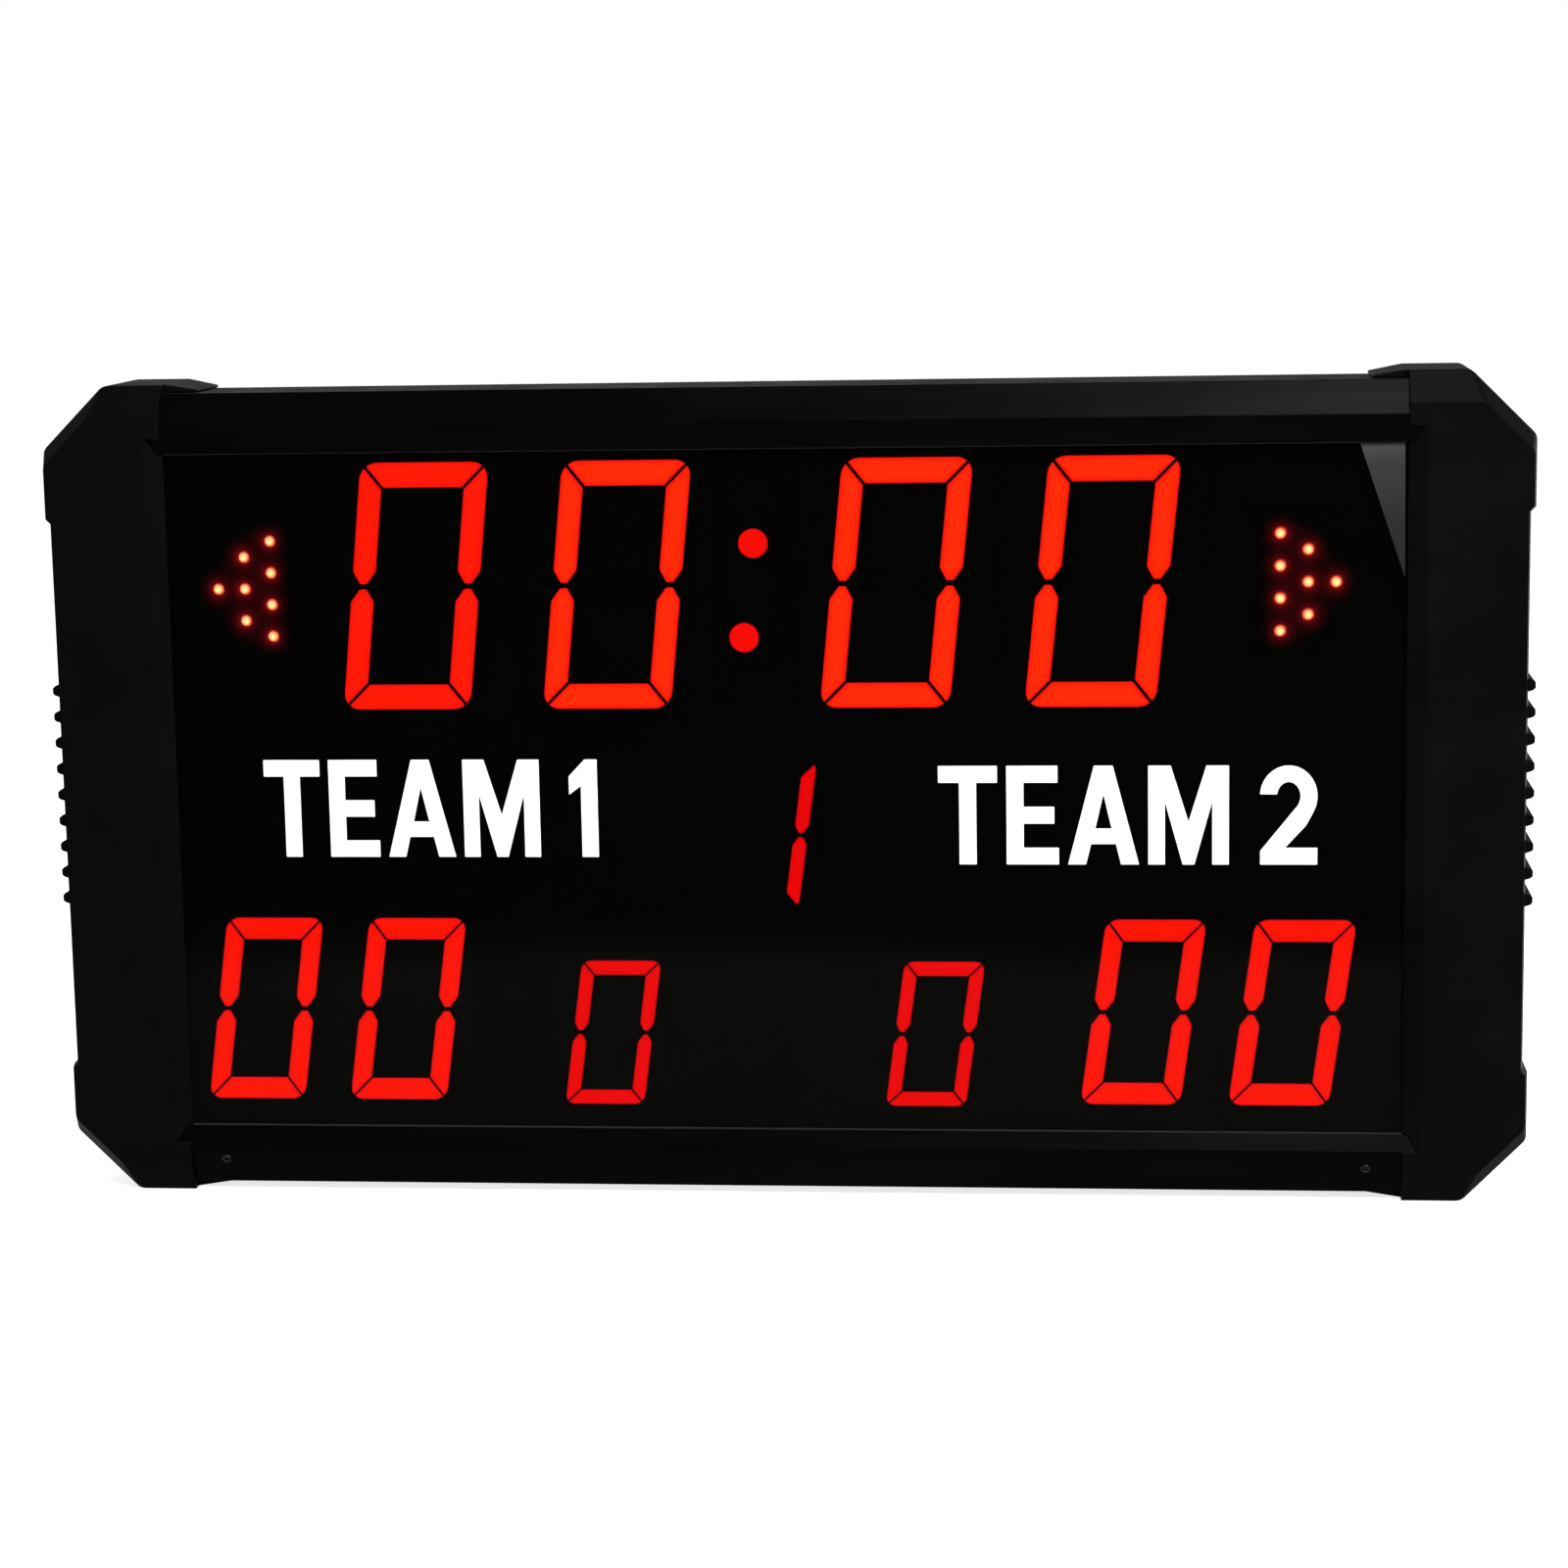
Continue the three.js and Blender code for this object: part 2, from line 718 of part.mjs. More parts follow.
function gripRib(level) {
  const shoulder = ribBase / 2 * ribShoulderWidthShare;
  const outline = [
    [recessSide - joinOverlap, level - ribBase / 2],
    [recessSide, level - ribBase / 2],
    [recessSide + ribHeight * ribShoulderRiseShare, level - shoulder],
    [recessSide + ribHeight, level - ribTip / 2],
    [recessSide + ribHeight, level + ribTip / 2],
    [recessSide + ribHeight * ribShoulderRiseShare, level + shoulder],
    [recessSide, level + ribBase / 2],
    [recessSide - joinOverlap, level + ribBase / 2],
  ];
  return prismY(outline, capFront + ribSetback, capRear - ribSetback);
}

function innerBevelCut() {
  const floor = panelFront - seatGap - innerBevelLip;
  const slope = (floor - capFront) / innerBevelWidth;
  const outline = [
    [capInner - cutOverrun, floor + cutOverrun * slope],
    [capInner - cutOverrun, capFront - cutOverrun],
    [capInner + innerBevelWidth + cutOverrun, capFront - cutOverrun * slope],
  ];
  const end = railInset + lipStart;
  return prismZ(outline, end, boardHeight - end);
}

function capHollows() {
  const sleeveEnd = capInner - collarReach - cutOverrun;
  const deepStart = panelHalf + seatGap;
  const mouthLow = railInset + railBox - seatGap;
  return [
    block(sleeveEnd, capInner, capFront - cutOverrun, coverOuter + seatGap,
      railInset - seatGap, boardHeight - railInset + seatGap),
    block(sleeveEnd, deepStart + cutOverrun, panelFront - seatGap, railRear + seatGap,
      mouthLow, boardHeight - mouthLow),
    ...[true, false].map((top) => (
      prismX(atRail(railEnvelope(), top), sleeveEnd, railEnd + seatGap))),
  ];
}

function capTongue(top) {
  const outline = atRail(insetOutline(frontHollow(), seatGap), top);
  return prismX(outline, railEnd - tongueLength - railEngagement, capInside + joinOverlap);
}

function capBoss(top) {
  const [[y, z]] = atRail([[portCentre, portLevel]], top);
  return rodX(railEnd + seatGap, recessSide, y, z, bossRadius);
}

function capScrewCuts(top) {
  const [[y, z]] = atRail([[portCentre, portLevel]], top);
  return [
    rodX(railEnd - cutOverrun, faceHalf + cutOverrun, y, z, capScrew.shank + seatGap, smallSides),
    rodX(screwSeat, faceHalf + cutOverrun, y, z, capScrew.head + seatGap),
  ];
}

function makeCap() {
  const form = solid(capForm(0));
  let cap = joined(form, [capCollar()]);
  for (let i = 0; i < ribCount; i++) {
    const level = boardHeight / 2 + (i - (ribCount - 1) / 2) * ribPitch;
    cap = cap.add(solid(gripRib(level)));
  }
  const deepRoom = block(panelHalf + seatGap, faceHalf, capFront, capRear, 0, boardHeight);
  const rearRoom = block(capInner + capWall, faceHalf, railRear, capRear, 0, boardHeight);
  const room = solid(capForm(capWall)).intersect(joined(solid(deepRoom), [rearRoom]));
  cap = cutBy(cap.subtract(room), [innerBevelCut(), ...capHollows()]);
  [true, false].flatMap((top) => [capTongue(top), capBoss(top)]).forEach((lug) => {
    cap = cap.add(solid(lug).intersect(form));
  });
  return cutBy(cap, [true, false].flatMap((top) => [
    ...capScrewCuts(top), frontScrewCut(frontScrewColumn, top)]));
}

function turnedCap(cap) {
  const geometry = geometryOf(cap);
  geometry.translate(0, 0, -boardHeight / 2);
  geometry.rotateY(Math.PI);
  return geometry.translate(0, 0, boardHeight / 2);
}

// Screws: a round head over a shank along -y, with a driving slot across the head
function makeScrew({ shank, head, headHeight, length }) {
  const profile = [
    [0, -length],
    [shank, -length],
    [shank, 0],
    [head, 0],
    [head, headHeight / 2],
    [head - headHeight / 2, headHeight],
    [0, headHeight],
  ].map((p) => new THREE.Vector2(...p));
  const turned = solid(new THREE.LatheGeometry(profile, smallSides));
  const slotFloor = headHeight * (1 - slotDepthShare);
  const slots = [
    block(-head - cutOverrun, head + cutOverrun, slotFloor, headHeight + cutOverrun,
      -slotWidth / 2, slotWidth / 2),
  ];
  return geometryOf(cutBy(turned, slots));
}

// Seven-segment digits. Segment outlines are upright and centred, then leaned over.
function mirrored(outline, across, up) {
  return outline.map(([x, z]) => [x * across, z * up]);
}

function segmentOutlines(digit) {
  const { width, height, bar, stroke, round, split, tipGap } = digit;
  const right = width / 2;
  const top = height / 2;
  const mitre = split * Math.SQRT1_2;
  const splitAngle = split / 2 / round;
  const arc = (share) => {
    const angle = Math.PI / 4 + share * (Math.PI / 4 - splitAngle) + Math.sign(share) * splitAngle;
    return [right - round + round * Math.cos(angle), top - round + round * Math.sin(angle)];
  };
  const nearSplit = (side) => {
    const angle = Math.PI / 4 + side * splitAngle;
    return [right - round + round * Math.cos(angle), top - round + round * Math.sin(angle)];
  };
  const half = [nearSplit(1), arc(1 / 2), arc(1)];
  const upper = [
    [right - stroke - mitre, top - bar],
    ...half,
    ...mirrored(half, -1, 1).reverse(),
    [stroke + mitre - right, top - bar],
  ];
  const tip = stroke * tipWidthShare / 2;
  const shoulder = tipGap / 2 + stroke * taperShare;
  const side = [
    [right - stroke, top - bar - mitre],
    [right - stroke, shoulder],
    [right - stroke / 2 - tip, tipGap / 2],
    [right - stroke / 2 + tip, tipGap / 2],
    [right, shoulder],
    arc(-1),
    arc(-1 / 2),
    nearSplit(-1),
  ];
  const end = right - stroke / 2 - tip - tipGap;
  const middle = [
    [end, 0], [end - bar / 2, bar / 2], [bar / 2 - end, bar / 2],
    [-end, 0], [bar / 2 - end, -bar / 2], [end - bar / 2, -bar / 2],
  ];
  return [
    upper, mirrored(upper, 1, -1), side, mirrored(side, -1, 1), mirrored(side, 1, -1),
    mirrored(side, -1, -1), middle,
  ];
}

function makeDigit(digit, x, z) {
  const body = block(-digit.moduleWidth / 2, digit.moduleWidth / 2, moduleFace,
    moduleFace + digit.moduleDepth, -digit.moduleHeight / 2, digit.moduleHeight / 2);
  const segments = segmentOutlines(digit).map((outline) => (
    prismY(outline.map(([a, b]) => [a + b * digit.lean, b]), maskFront, moduleFace + joinOverlap)));
  return geometryOf(joined(solid(body), segments)).translate(x, 0, z);
}

function makeColon() {
  const body = block(colonCentre - colonModuleWidth / 2, colonCentre + colonModuleWidth / 2, moduleFace,
    moduleFace + clockDigit.moduleDepth, colonHeight - colonModuleHeight / 2,
    colonHeight + colonModuleHeight / 2);
  const dots = [-1, 1].map((side) => (
    rodY(colonCentre + side * colonLean / 2, maskFront, moduleFace + joinOverlap,
      colonHeight + side * colonDotSpacing / 2, colonDotRadius)));
  return joined(solid(body), dots);
}

// Every digit module with its name, kind and place
const digitPlaces = [];
[-clockSpan / 2 - clockPitch, -clockSpan / 2, clockSpan / 2, clockSpan / 2 + clockPitch]
  .forEach((offset, i) => {
    const x = clockCentre + offset;
    digitPlaces.push({ name: `clock_digit_${i + 1}`, digit: clockDigit, x, z: clockHeight });
  });
[['left', leftScoreCentre], ['right', rightScoreCentre]].forEach(([side, centre]) => {
  [-scorePitch / 2, scorePitch / 2].forEach((offset, i) => {
    const x = centre + offset;
    digitPlaces.push({ name: `${side}_score_digit_${i + 1}`, digit: scoreDigit, x, z: scoreHeight });
  });
});
digitPlaces.push({ name: 'left_foul_digit', digit: smallDigit, x: leftFoulCentre, z: foulHeight });
digitPlaces.push({ name: 'right_foul_digit', digit: smallDigit, x: rightFoulCentre, z: foulHeight });
digitPlaces.push({ name: 'period_digit', digit: smallDigit, x: periodCentre, z: periodHeight });

// Lamps of one possession arrow, from its base column towards its point
function lampPlaces(base, direction) {
  const places = [];
  lampColumns.forEach((count, column) => {
    for (let i = 0; i < count; i++) {
      places.push([
        base + direction * column * lampColumnPitch,
        arrowHeight + (i - (count - 1) / 2) * lampPitch,
      ]);
    }
  });
  return places;
}

function arrowBoardSpan(base, direction) {
  const near = base - direction * arrowBoardMargin;
  const far = near + direction * arrowBoardWidth;
  return [Math.min(near, far), Math.max(near, far)];
}

function makeArrowBoard(base, direction) {
  const [left, right] = arrowBoardSpan(base, direction);
  const plate = block(left, right, clockBoardFront, clockBoardFront + boardThickness,
    arrowHeight - arrowBoardHeight / 2, arrowHeight + arrowBoardHeight / 2);
  const lampLength = clockBoardFront + joinOverlap - maskFront;
  const lamps = lampPlaces(base, direction).map(([x, z]) => {
    const profile = [
      [0, 0],
      [lampRadius, 0],
      [lampRadius, lampLength - lampDomeHeight],
      [lampRadius * Math.SQRT1_2, lampLength - lampDomeHeight * (1 - Math.SQRT1_2)],
      [0, lampLength],
    ].map((p) => new THREE.Vector2(...p));
    return new THREE.LatheGeometry(profile, smallSides)
      .rotateX(Math.PI)
      .translate(x, clockBoardFront + joinOverlap, z);
  });
  const plug = block(direction > 0 ? left - headerDepth : right - joinOverlap,
    direction > 0 ? left + joinOverlap : right + headerDepth,
    clockBoardFront, clockBoardFront + boardThickness, arrowHeight - headerWidth / 2,
    arrowHeight + headerWidth / 2);
  return joined(solid(plate), [...lamps, plug]);
}

// Boards that the display mask's posts carry
const clockBoardLeft = arrowBoardSpan(leftArrowBase, -1)[1] + headerDepth + seatGap;
const clockBoardRight = arrowBoardSpan(rightArrowBase, 1)[0] - headerDepth - seatGap;
const clockBoardLow = clockHeight - clockDigit.moduleHeight / 2 - 2 * boardMargin;
const clockBoardHigh = clockHeight + clockDigit.moduleHeight / 2 - boardMargin;
const clockPostLevel = clockBoardLow + boardMargin - stakeRadius;
const scoreBoardLow = scoreHeight - scoreDigit.moduleHeight / 2 + boardMargin / 2;
const scoreBoardHigh = foulHeight + smallDigit.moduleHeight / 2 + boardMargin;
const scoreBoardLeft = leftScoreCentre - scorePitch / 2 - scoreDigit.moduleWidth / 2;
const scoreBoardRight = rightScoreCentre + scorePitch / 2 + scoreDigit.moduleWidth / 2;
const periodStemHalf = smallDigit.moduleWidth / 2 + 2 * boardMargin;
const periodStemHigh = periodHeight + smallDigit.moduleHeight / 2 - boardMargin;

const clockPosts = [
  leftFoulCentre - clockPitch, leftFoulCentre, rightFoulCentre, rightFoulCentre + clockPitch,
].map((x) => [x, clockPostLevel]);
const leftBoardGap = (leftScoreCentre + scorePitch / 2 + scoreDigit.moduleWidth / 2
  + leftFoulCentre - smallDigit.moduleWidth / 2) / 2;
const rightBoardGap = (rightScoreCentre - scorePitch / 2 - scoreDigit.moduleWidth / 2
  + rightFoulCentre + smallDigit.moduleWidth / 2) / 2;
const scorePosts = [
  [leftBoardGap, foulHeight],
  [periodCentre, foulHeight],
  [rightBoardGap, foulHeight],
  [periodCentre - periodStemHalf + boardMargin, periodHeight],
  [periodCentre + periodStemHalf - boardMargin, periodHeight],
];
const arrowPosts = [[leftArrowBase, -1], [rightArrowBase, 1]].flatMap(([base, direction]) => {
  const [left, right] = arrowBoardSpan(base, direction);
  return [
    [(left + right) / 2 + direction * lampColumnPitch, arrowHeight + arrowBoardHeight / 2 - boardMargin],
    [(left + right) / 2 + direction * lampColumnPitch, arrowHeight - arrowBoardHeight / 2 + boardMargin],
  ];
});

function stakeHoles(posts) {
  return posts.map(([x, z]) => disc(x, z, stakeRadius + seatGap, smallSides));
}

const clockHeader = { x: mainBoardCentre - headerWidth, z: clockHeight };
const scoreHeader = { x: switchCentre - boardMargin, z: controlLevel + switchFlangeHeight + boardMargin };

function headerBlock({ x, z }, from, to) {
  return block(x - headerWidth / 2, x + headerWidth / 2, from, to, z - headerHeight / 2,
    z + headerHeight / 2);
}

function makeClockBoard() {
  const rear = clockBoardFront + boardThickness;
  const outline = rectangle(clockBoardLeft, clockBoardRight, clockBoardLow, clockBoardHigh);
  const plate = pierced(prismY, outline, clockBoardFront, rear, stakeHoles(clockPosts));
  return joined(plate, [headerBlock(clockHeader, rear - joinOverlap, rear + headerDepth)]);
}

function makeScoreBoard() {
  const rear = scoreBoardFront + boardThickness;
  const outline = [
    [scoreBoardLeft, scoreBoardLow],
    [scoreBoardRight, scoreBoardLow],
    [scoreBoardRight, scoreBoardHigh],
    [periodCentre + periodStemHalf, scoreBoardHigh],
    [periodCentre + periodStemHalf, periodStemHigh],
    [periodCentre - periodStemHalf, periodStemHigh],
    [periodCentre - periodStemHalf, scoreBoardHigh],
    [scoreBoardLeft, scoreBoardHigh],
  ];
  const plate = pierced(prismY, outline, scoreBoardFront, rear, stakeHoles(scorePosts));
  return joined(plate, [headerBlock(scoreHeader, rear - joinOverlap, rear + headerDepth)]);
}

// The mask frames each module and lamp, and its posts carry the boards
function makeMask() {
  const windows = digitPlaces.map(({ digit, x, z }) => (
    rectangle(x - digit.moduleWidth / 2 - seatGap, x + digit.moduleWidth / 2 + seatGap,
      z - digit.moduleHeight / 2 - seatGap, z + digit.moduleHeight / 2 + seatGap)));
  windows.push(rectangle(colonCentre - colonModuleWidth / 2 - seatGap,
    colonCentre + colonModuleWidth / 2 + seatGap, colonHeight - colonModuleHeight / 2 - seatGap,
    colonHeight + colonModuleHeight / 2 + seatGap));
  const lamps = [...lampPlaces(leftArrowBase, -1), ...lampPlaces(rightArrowBase, 1)];
  lamps.forEach(([x, z]) => windows.push(disc(x, z, lampWindow, smallSides)));
  const low = railInset + panelEdge;
  const outline = rectangle(-panelHalf, panelHalf, low, boardHeight - low);
  const sheet = pierced(prismY, outline, maskFront, maskRear, windows);
  const post = ([x, z], boardFront) => [
    rodY(x, maskRear - joinOverlap, boardFront - seatGap, z, postRadius, smallSides),
    rodY(x, boardFront - cutOverrun, boardFront + boardThickness + stakeTip, z, stakeRadius, smallSides),
  ];
  return joined(sheet, [
    ...clockPosts.flatMap((place) => post(place, clockBoardFront)),
    ...scorePosts.flatMap((place) => post(place, scoreBoardFront)),
  ]);
}

// Back cover with its openings and the posts that carry the boards inside
function boardPosts(centre, level, width, height) {
  const across = width / 2 - boardMargin;
  const up = height / 2 - boardMargin;
  return [[-1, -1], [1, -1], [1, 1], [-1, 1]].map(([a, b]) => [centre + a * across, level + b * up]);
}

const mainPosts = boardPosts(mainBoardCentre, mainBoardLevel, mainBoardWidth, mainBoardHeight);
const regulatorPosts = boardPosts(regulatorCentre, regulatorLevel, regulatorWidth, regulatorHeight);
const receiverPosts = boardPosts(receiverCentre, receiverLevel, receiverWidth, receiverHeight);

function keyholeOutline(x) {
  const half = keyholeSlotWidth / 2;
  const start = Math.acos(half / keyholeHeadRadius);
  const points = [];
  for (let i = 0; i <= roundSides; i++) {
    const angle = start - (2 * start + Math.PI) * i / roundSides;
    const rise = keyholeHeadRadius * Math.sin(angle);
    points.push([x + keyholeHeadRadius * Math.cos(angle), keyholeHeight + rise]);
  }
  const slotTop = keyholeHeight + keyholeSlotRise;
  const crown = [];
  for (let i = 0; i <= smallSides / 2; i++) {
    const angle = Math.PI * (1 - i / (smallSides / 2));
    crown.push([x + half * Math.cos(angle), slotTop + half * Math.sin(angle)]);
  }
  return [...points, ...crown];
}

function ventOutlines() {
  const outlines = [];
  ventLows.forEach((low) => {
    for (let i = 0; i < ventCount; i++) {
      const x = (i - (ventCount - 1) / 2) * ventPitch;
      outlines.push(rectangle(x - ventWidth / 2, x + ventWidth / 2, low, low + ventHeight));
    }
  });
  return outlines;
}

function grilleOutlines() {
  const outlines = [];
  for (let i = 0; i < grilleSlots; i++) {
    const rise = (i - (grilleSlots - 1) / 2) * grillePitch;
    const reach = Math.sqrt(grilleRadius * grilleRadius - rise * rise);
    const low = hornLevel + rise - grilleSlot / 2;
    outlines.push(rectangle(-reach, reach, low, low + grilleSlot));
  }
  return outlines;
}

const rivetPlaces = [[-1, lugLow + rivetInset], [1, lugLow + rivetInset], [-1, lugHigh - rivetInset],
  [1, lugHigh - rivetInset]];

function coverScrewPlaces() {
  const low = railInset + coverScrewInset;
  return [low, boardHeight - low].flatMap((z) => (
    [-coverScrewColumn, 0, coverScrewColumn].map((x) => [x, z])));
}

function makeCover() {
  const openings = [
    ...ventOutlines(),
    ...grilleOutlines(),
    keyholeOutline(-keyholeColumn),
    keyholeOutline(keyholeColumn),
    ...coverScrewPlaces().map(([x, z]) => disc(x, z, coverScrew.shank + seatGap, smallSides)),
    rectangle(switchCentre - switchBodyWidth / 2 - seatGap, switchCentre + switchBodyWidth / 2 + seatGap,
      controlLevel - switchBodyHeight / 2 - seatGap, controlLevel + switchBodyHeight / 2 + seatGap),
    disc(jackCentre, controlLevel, jackBodyRadius + seatGap),
    disc(buttonCentre, controlLevel, buttonBodyRadius + seatGap),
    ...[-footColumn, footColumn].flatMap((column) => rivetPlaces.map(([side, z]) => (
      disc(column + side * rivetColumn, z, rivetRadius + seatGap, smallSides)))),
  ];
  const outline = rectangle(-coverHalf, coverHalf, coverLow, coverHigh);
  const sheet = pierced(prismY, outline, coverInner, coverOuter, openings);
  const posts = [...mainPosts, ...regulatorPosts, ...receiverPosts].flatMap(([x, z]) => [
    rodY(x, coverInner - boardPostHeight, coverInner + joinOverlap, z, postRadius, smallSides),
    rodY(x, mainBoardFront - stakeTip, coverInner - boardPostHeight + cutOverrun, z, stakeRadius,
      smallSides),
  ]);
  return joined(sheet, posts);
}

// Boards on the cover: a plate with holes for the posts, and its parts on the inner side
function plateOnPosts(centre, level, width, height, posts) {
  const outline = rectangle(centre - width / 2, centre + width / 2, level - height / 2, level + height / 2);
  return pierced(prismY, outline, mainBoardFront, mainBoardRear, stakeHoles(posts));
}

function chip(x, z, width, height, rise) {
  return block(x - width / 2, x + width / 2, mainBoardFront - rise, mainBoardFront + joinOverlap,
    z - height / 2, z + height / 2);
}

function canister(x, z, radius, rise) {
  return rodY(x, mainBoardFront - rise, mainBoardFront + joinOverlap, z, radius, smallSides);
}

const mainHeaderRow = mainBoardLevel - mainBoardHeight / 2 + headerHeight / 2 + stakeRadius;
const clockPlug = { x: clockHeader.x, z: mainBoardLevel - boardMargin - headerHeight };
const scorePlug = { x: scoreHeader.x, z: mainHeaderRow };
const hornPlug = { x: mainBoardCentre + headerWidth, z: mainHeaderRow };
const supplyPlug = {
  x: regulatorCentre,
  z: regulatorLevel - regulatorHeight / 2 + headerHeight / 2 + stakeRadius,
};

function makeMainBoard() {
  const plate = plateOnPosts(mainBoardCentre, mainBoardLevel, mainBoardWidth, mainBoardHeight, mainPosts);
  const quarter = mainBoardWidth / 4;
  return joined(plate, [
    chip(mainBoardCentre + quarter / 2, mainBoardLevel, partWidth, partWidth, partRise),
    chip(mainBoardCentre + quarter, mainBoardLevel - partWidth, partWidth / 2, partWidth, partRise),
    chip(mainBoardCentre - quarter, mainBoardLevel + partWidth, partWidth, partWidth / 2, partRise),
    canister(mainBoardCentre + quarter * 3 / 2, mainBoardLevel, canisterRadius, canisterRise),
    canister(mainBoardCentre + quarter * 3 / 2, mainBoardLevel + partWidth, canisterRadius, canisterRise),
    ...[clockPlug, scorePlug, hornPlug].map((place) => (
      headerBlock(place, mainBoardFront - headerDepth, mainBoardFront + joinOverlap))),
  ]);
}

function makeRegulator() {
  const plate = plateOnPosts(
    regulatorCentre, regulatorLevel, regulatorWidth, regulatorHeight, regulatorPosts);
  return joined(plate, [
    chip(regulatorCentre - regulatorWidth / 8, regulatorLevel, partWidth, partWidth, partRise * 2),
    canister(regulatorCentre + regulatorWidth / 4, regulatorLevel, canisterRadius, canisterRise),
    canister(regulatorCentre, regulatorLevel + partWidth, canisterRadius, canisterRise),
    headerBlock(supplyPlug, mainBoardFront - headerDepth, mainBoardFront + joinOverlap),
  ]);
}

function makeReceiver() {
  const plate = plateOnPosts(receiverCentre, receiverLevel, receiverWidth, receiverHeight, receiverPosts);
  return joined(plate, [
    chip(receiverCentre, receiverLevel, partWidth, partWidth, partRise),
  ]);
}

function makeAntenna() {
  const base = receiverLevel + receiverHeight / 2 + seatGap;
  const profile = [
    [0, 0],
    [antennaRadius * 3 / 2, 0],
    [antennaRadius * 3 / 2, antennaRadius * 3],
    [antennaRadius, antennaRadius * 4],
    [antennaRadius, antennaLength - antennaRadius],
    [antennaRadius / 2, antennaLength],
    [0, antennaLength],
  ].map((p) => new THREE.Vector2(...p));
  return new THREE.LatheGeometry(profile, smallSides)
    .rotateX(Math.PI / 2)
    .translate(receiverCentre, (mainBoardFront + mainBoardRear) / 2, base);
}

function makeHorn() {
  const rear = coverInner - seatGap;
  return joined(solid(rodY(0, rear - hornFlange, rear, hornLevel, hornRadius + hornFlangeWidth)), [
    rodY(0, rear - hornDepth, rear - hornFlange + joinOverlap, hornLevel, hornRadius),
  ]);
}

// Controls
const switchFace = coverOuter + seatGap + switchFlangeThickness;
const rockerAxis = switchFace - rockerAxisDepth;
const rockerHalfWidth = switchBodyWidth / 2 - switchWall - seatGap;

function makeSwitchHousing() {
  const wellHalf = Math.hypot(rockerHalfLength, rockerEnd) + seatGap;
  const flange = block(switchCentre - switchFlangeWidth / 2, switchCentre + switchFlangeWidth / 2,
    coverOuter + seatGap, switchFace, controlLevel - switchFlangeHeight / 2,
    controlLevel + switchFlangeHeight / 2);
  const body = block(switchCentre - switchBodyWidth / 2, switchCentre + switchBodyWidth / 2,
    switchFace - switchFlangeThickness - switchBodyDepth, switchFace - switchFlangeThickness / 2,
    controlLevel - switchBodyHeight / 2, controlLevel + switchBodyHeight / 2);
  const well = block(switchCentre - rockerHalfWidth - seatGap, switchCentre + rockerHalfWidth + seatGap,
    switchFace - switchWellDepth, switchFace + cutOverrun, controlLevel - wellHalf, controlLevel + wellHalf);
  const pinReach = rockerHalfWidth + rockerPinLength + seatGap;
  const sockets = rodX(switchCentre - pinReach, switchCentre + pinReach, rockerAxis, controlLevel,
    rockerPinRadius + pinClearance, pinSides);
  return cutBy(joined(solid(flange), [body]), [well, sockets]);
}

function makeRocker() {
  const outline = [
    [rockerCrown, 0],
    [rockerEnd, -rockerHalfLength],
    [-rockerSkirt, -rockerHalfLength],
    [-rockerKeelDepth, -rockerKeelHalf],
    [-rockerKeelDepth, rockerKeelHalf],
    [-rockerSkirt, rockerHalfLength],
    [rockerEnd, rockerHalfLength],
  ];
  const paddle = prismX(outline, -rockerHalfWidth, rockerHalfWidth);
  const pinReach = rockerHalfWidth + rockerPinLength;
  return joined(solid(paddle), [rodX(-pinReach, pinReach, 0, 0, rockerPinRadius, pinSides)]);
}

function makeJack() {
  const face = coverOuter + seatGap + jackFlangeThickness;
  const rear = face - jackFlangeThickness - jackDepth;
  const nutFace = coverInner - seatGap;
  const flange = rodY(jackCentre, face - jackFlangeThickness, face, controlLevel, jackFlangeRadius);
  const body = joined(solid(flange), [
    rodY(jackCentre, rear, face - joinOverlap, controlLevel, jackBodyRadius),
    rodY(jackCentre, nutFace - jackNutThickness, nutFace, controlLevel, jackNutRadius, 6),
  ]);
  const bored = cutBy(body, [
    rodY(jackCentre, face - jackBoreDepth, face + cutOverrun, controlLevel, jackBoreRadius),
  ]);
  return joined(bored, [
    rodY(jackCentre, face - jackBoreDepth - joinOverlap, face - jackBoreDepth + jackPinLength, controlLevel,
      jackPinRadius, smallSides),
  ]);
}

const buttonFace = coverOuter + seatGap + buttonFlangeThickness;
const buttonWell = buttonFace - buttonLip;

function makeButtonHousing() {
  const flange = rodY(
    buttonCentre, buttonFace - buttonFlangeThickness, buttonFace, controlLevel, buttonFlangeRadius);
  const body = rodY(buttonCentre, buttonFace - buttonFlangeThickness - buttonBodyDepth,
    buttonFace - joinOverlap, controlLevel, buttonBodyRadius);
  const floor = buttonWell - seatGap - buttonShoulderThickness - buttonTravel - seatGap;
  return cutBy(joined(solid(flange), [body]), [
    rodY(buttonCentre, buttonWell - cutOverrun, buttonFace + cutOverrun, controlLevel,
      buttonRadius + seatGap),
    rodY(buttonCentre, floor, buttonWell, controlLevel, buttonShoulder + seatGap),
  ]);
}

function makeButton() {
  const shoulderTop = buttonWell - seatGap;
  return joined(solid(rodY(buttonCentre, shoulderTop - joinOverlap, buttonFace + buttonProud, controlLevel,
    buttonRadius)), [
    rodY(buttonCentre, shoulderTop - buttonShoulderThickness, shoulderTop, controlLevel, buttonShoulder),
  ]);
}

// Flat ribbon cables and round leads inside the case
function makeRibbon(x, line) {
  const outline = [
    ...line.map(([y, z]) => [y + ribbonThickness / 2, z]),
    ...line.map(([y, z]) => [y - ribbonThickness / 2, z]).reverse(),
  ];
  return prismX(outline, x - ribbonWidth / 2, x + ribbonWidth / 2);
}

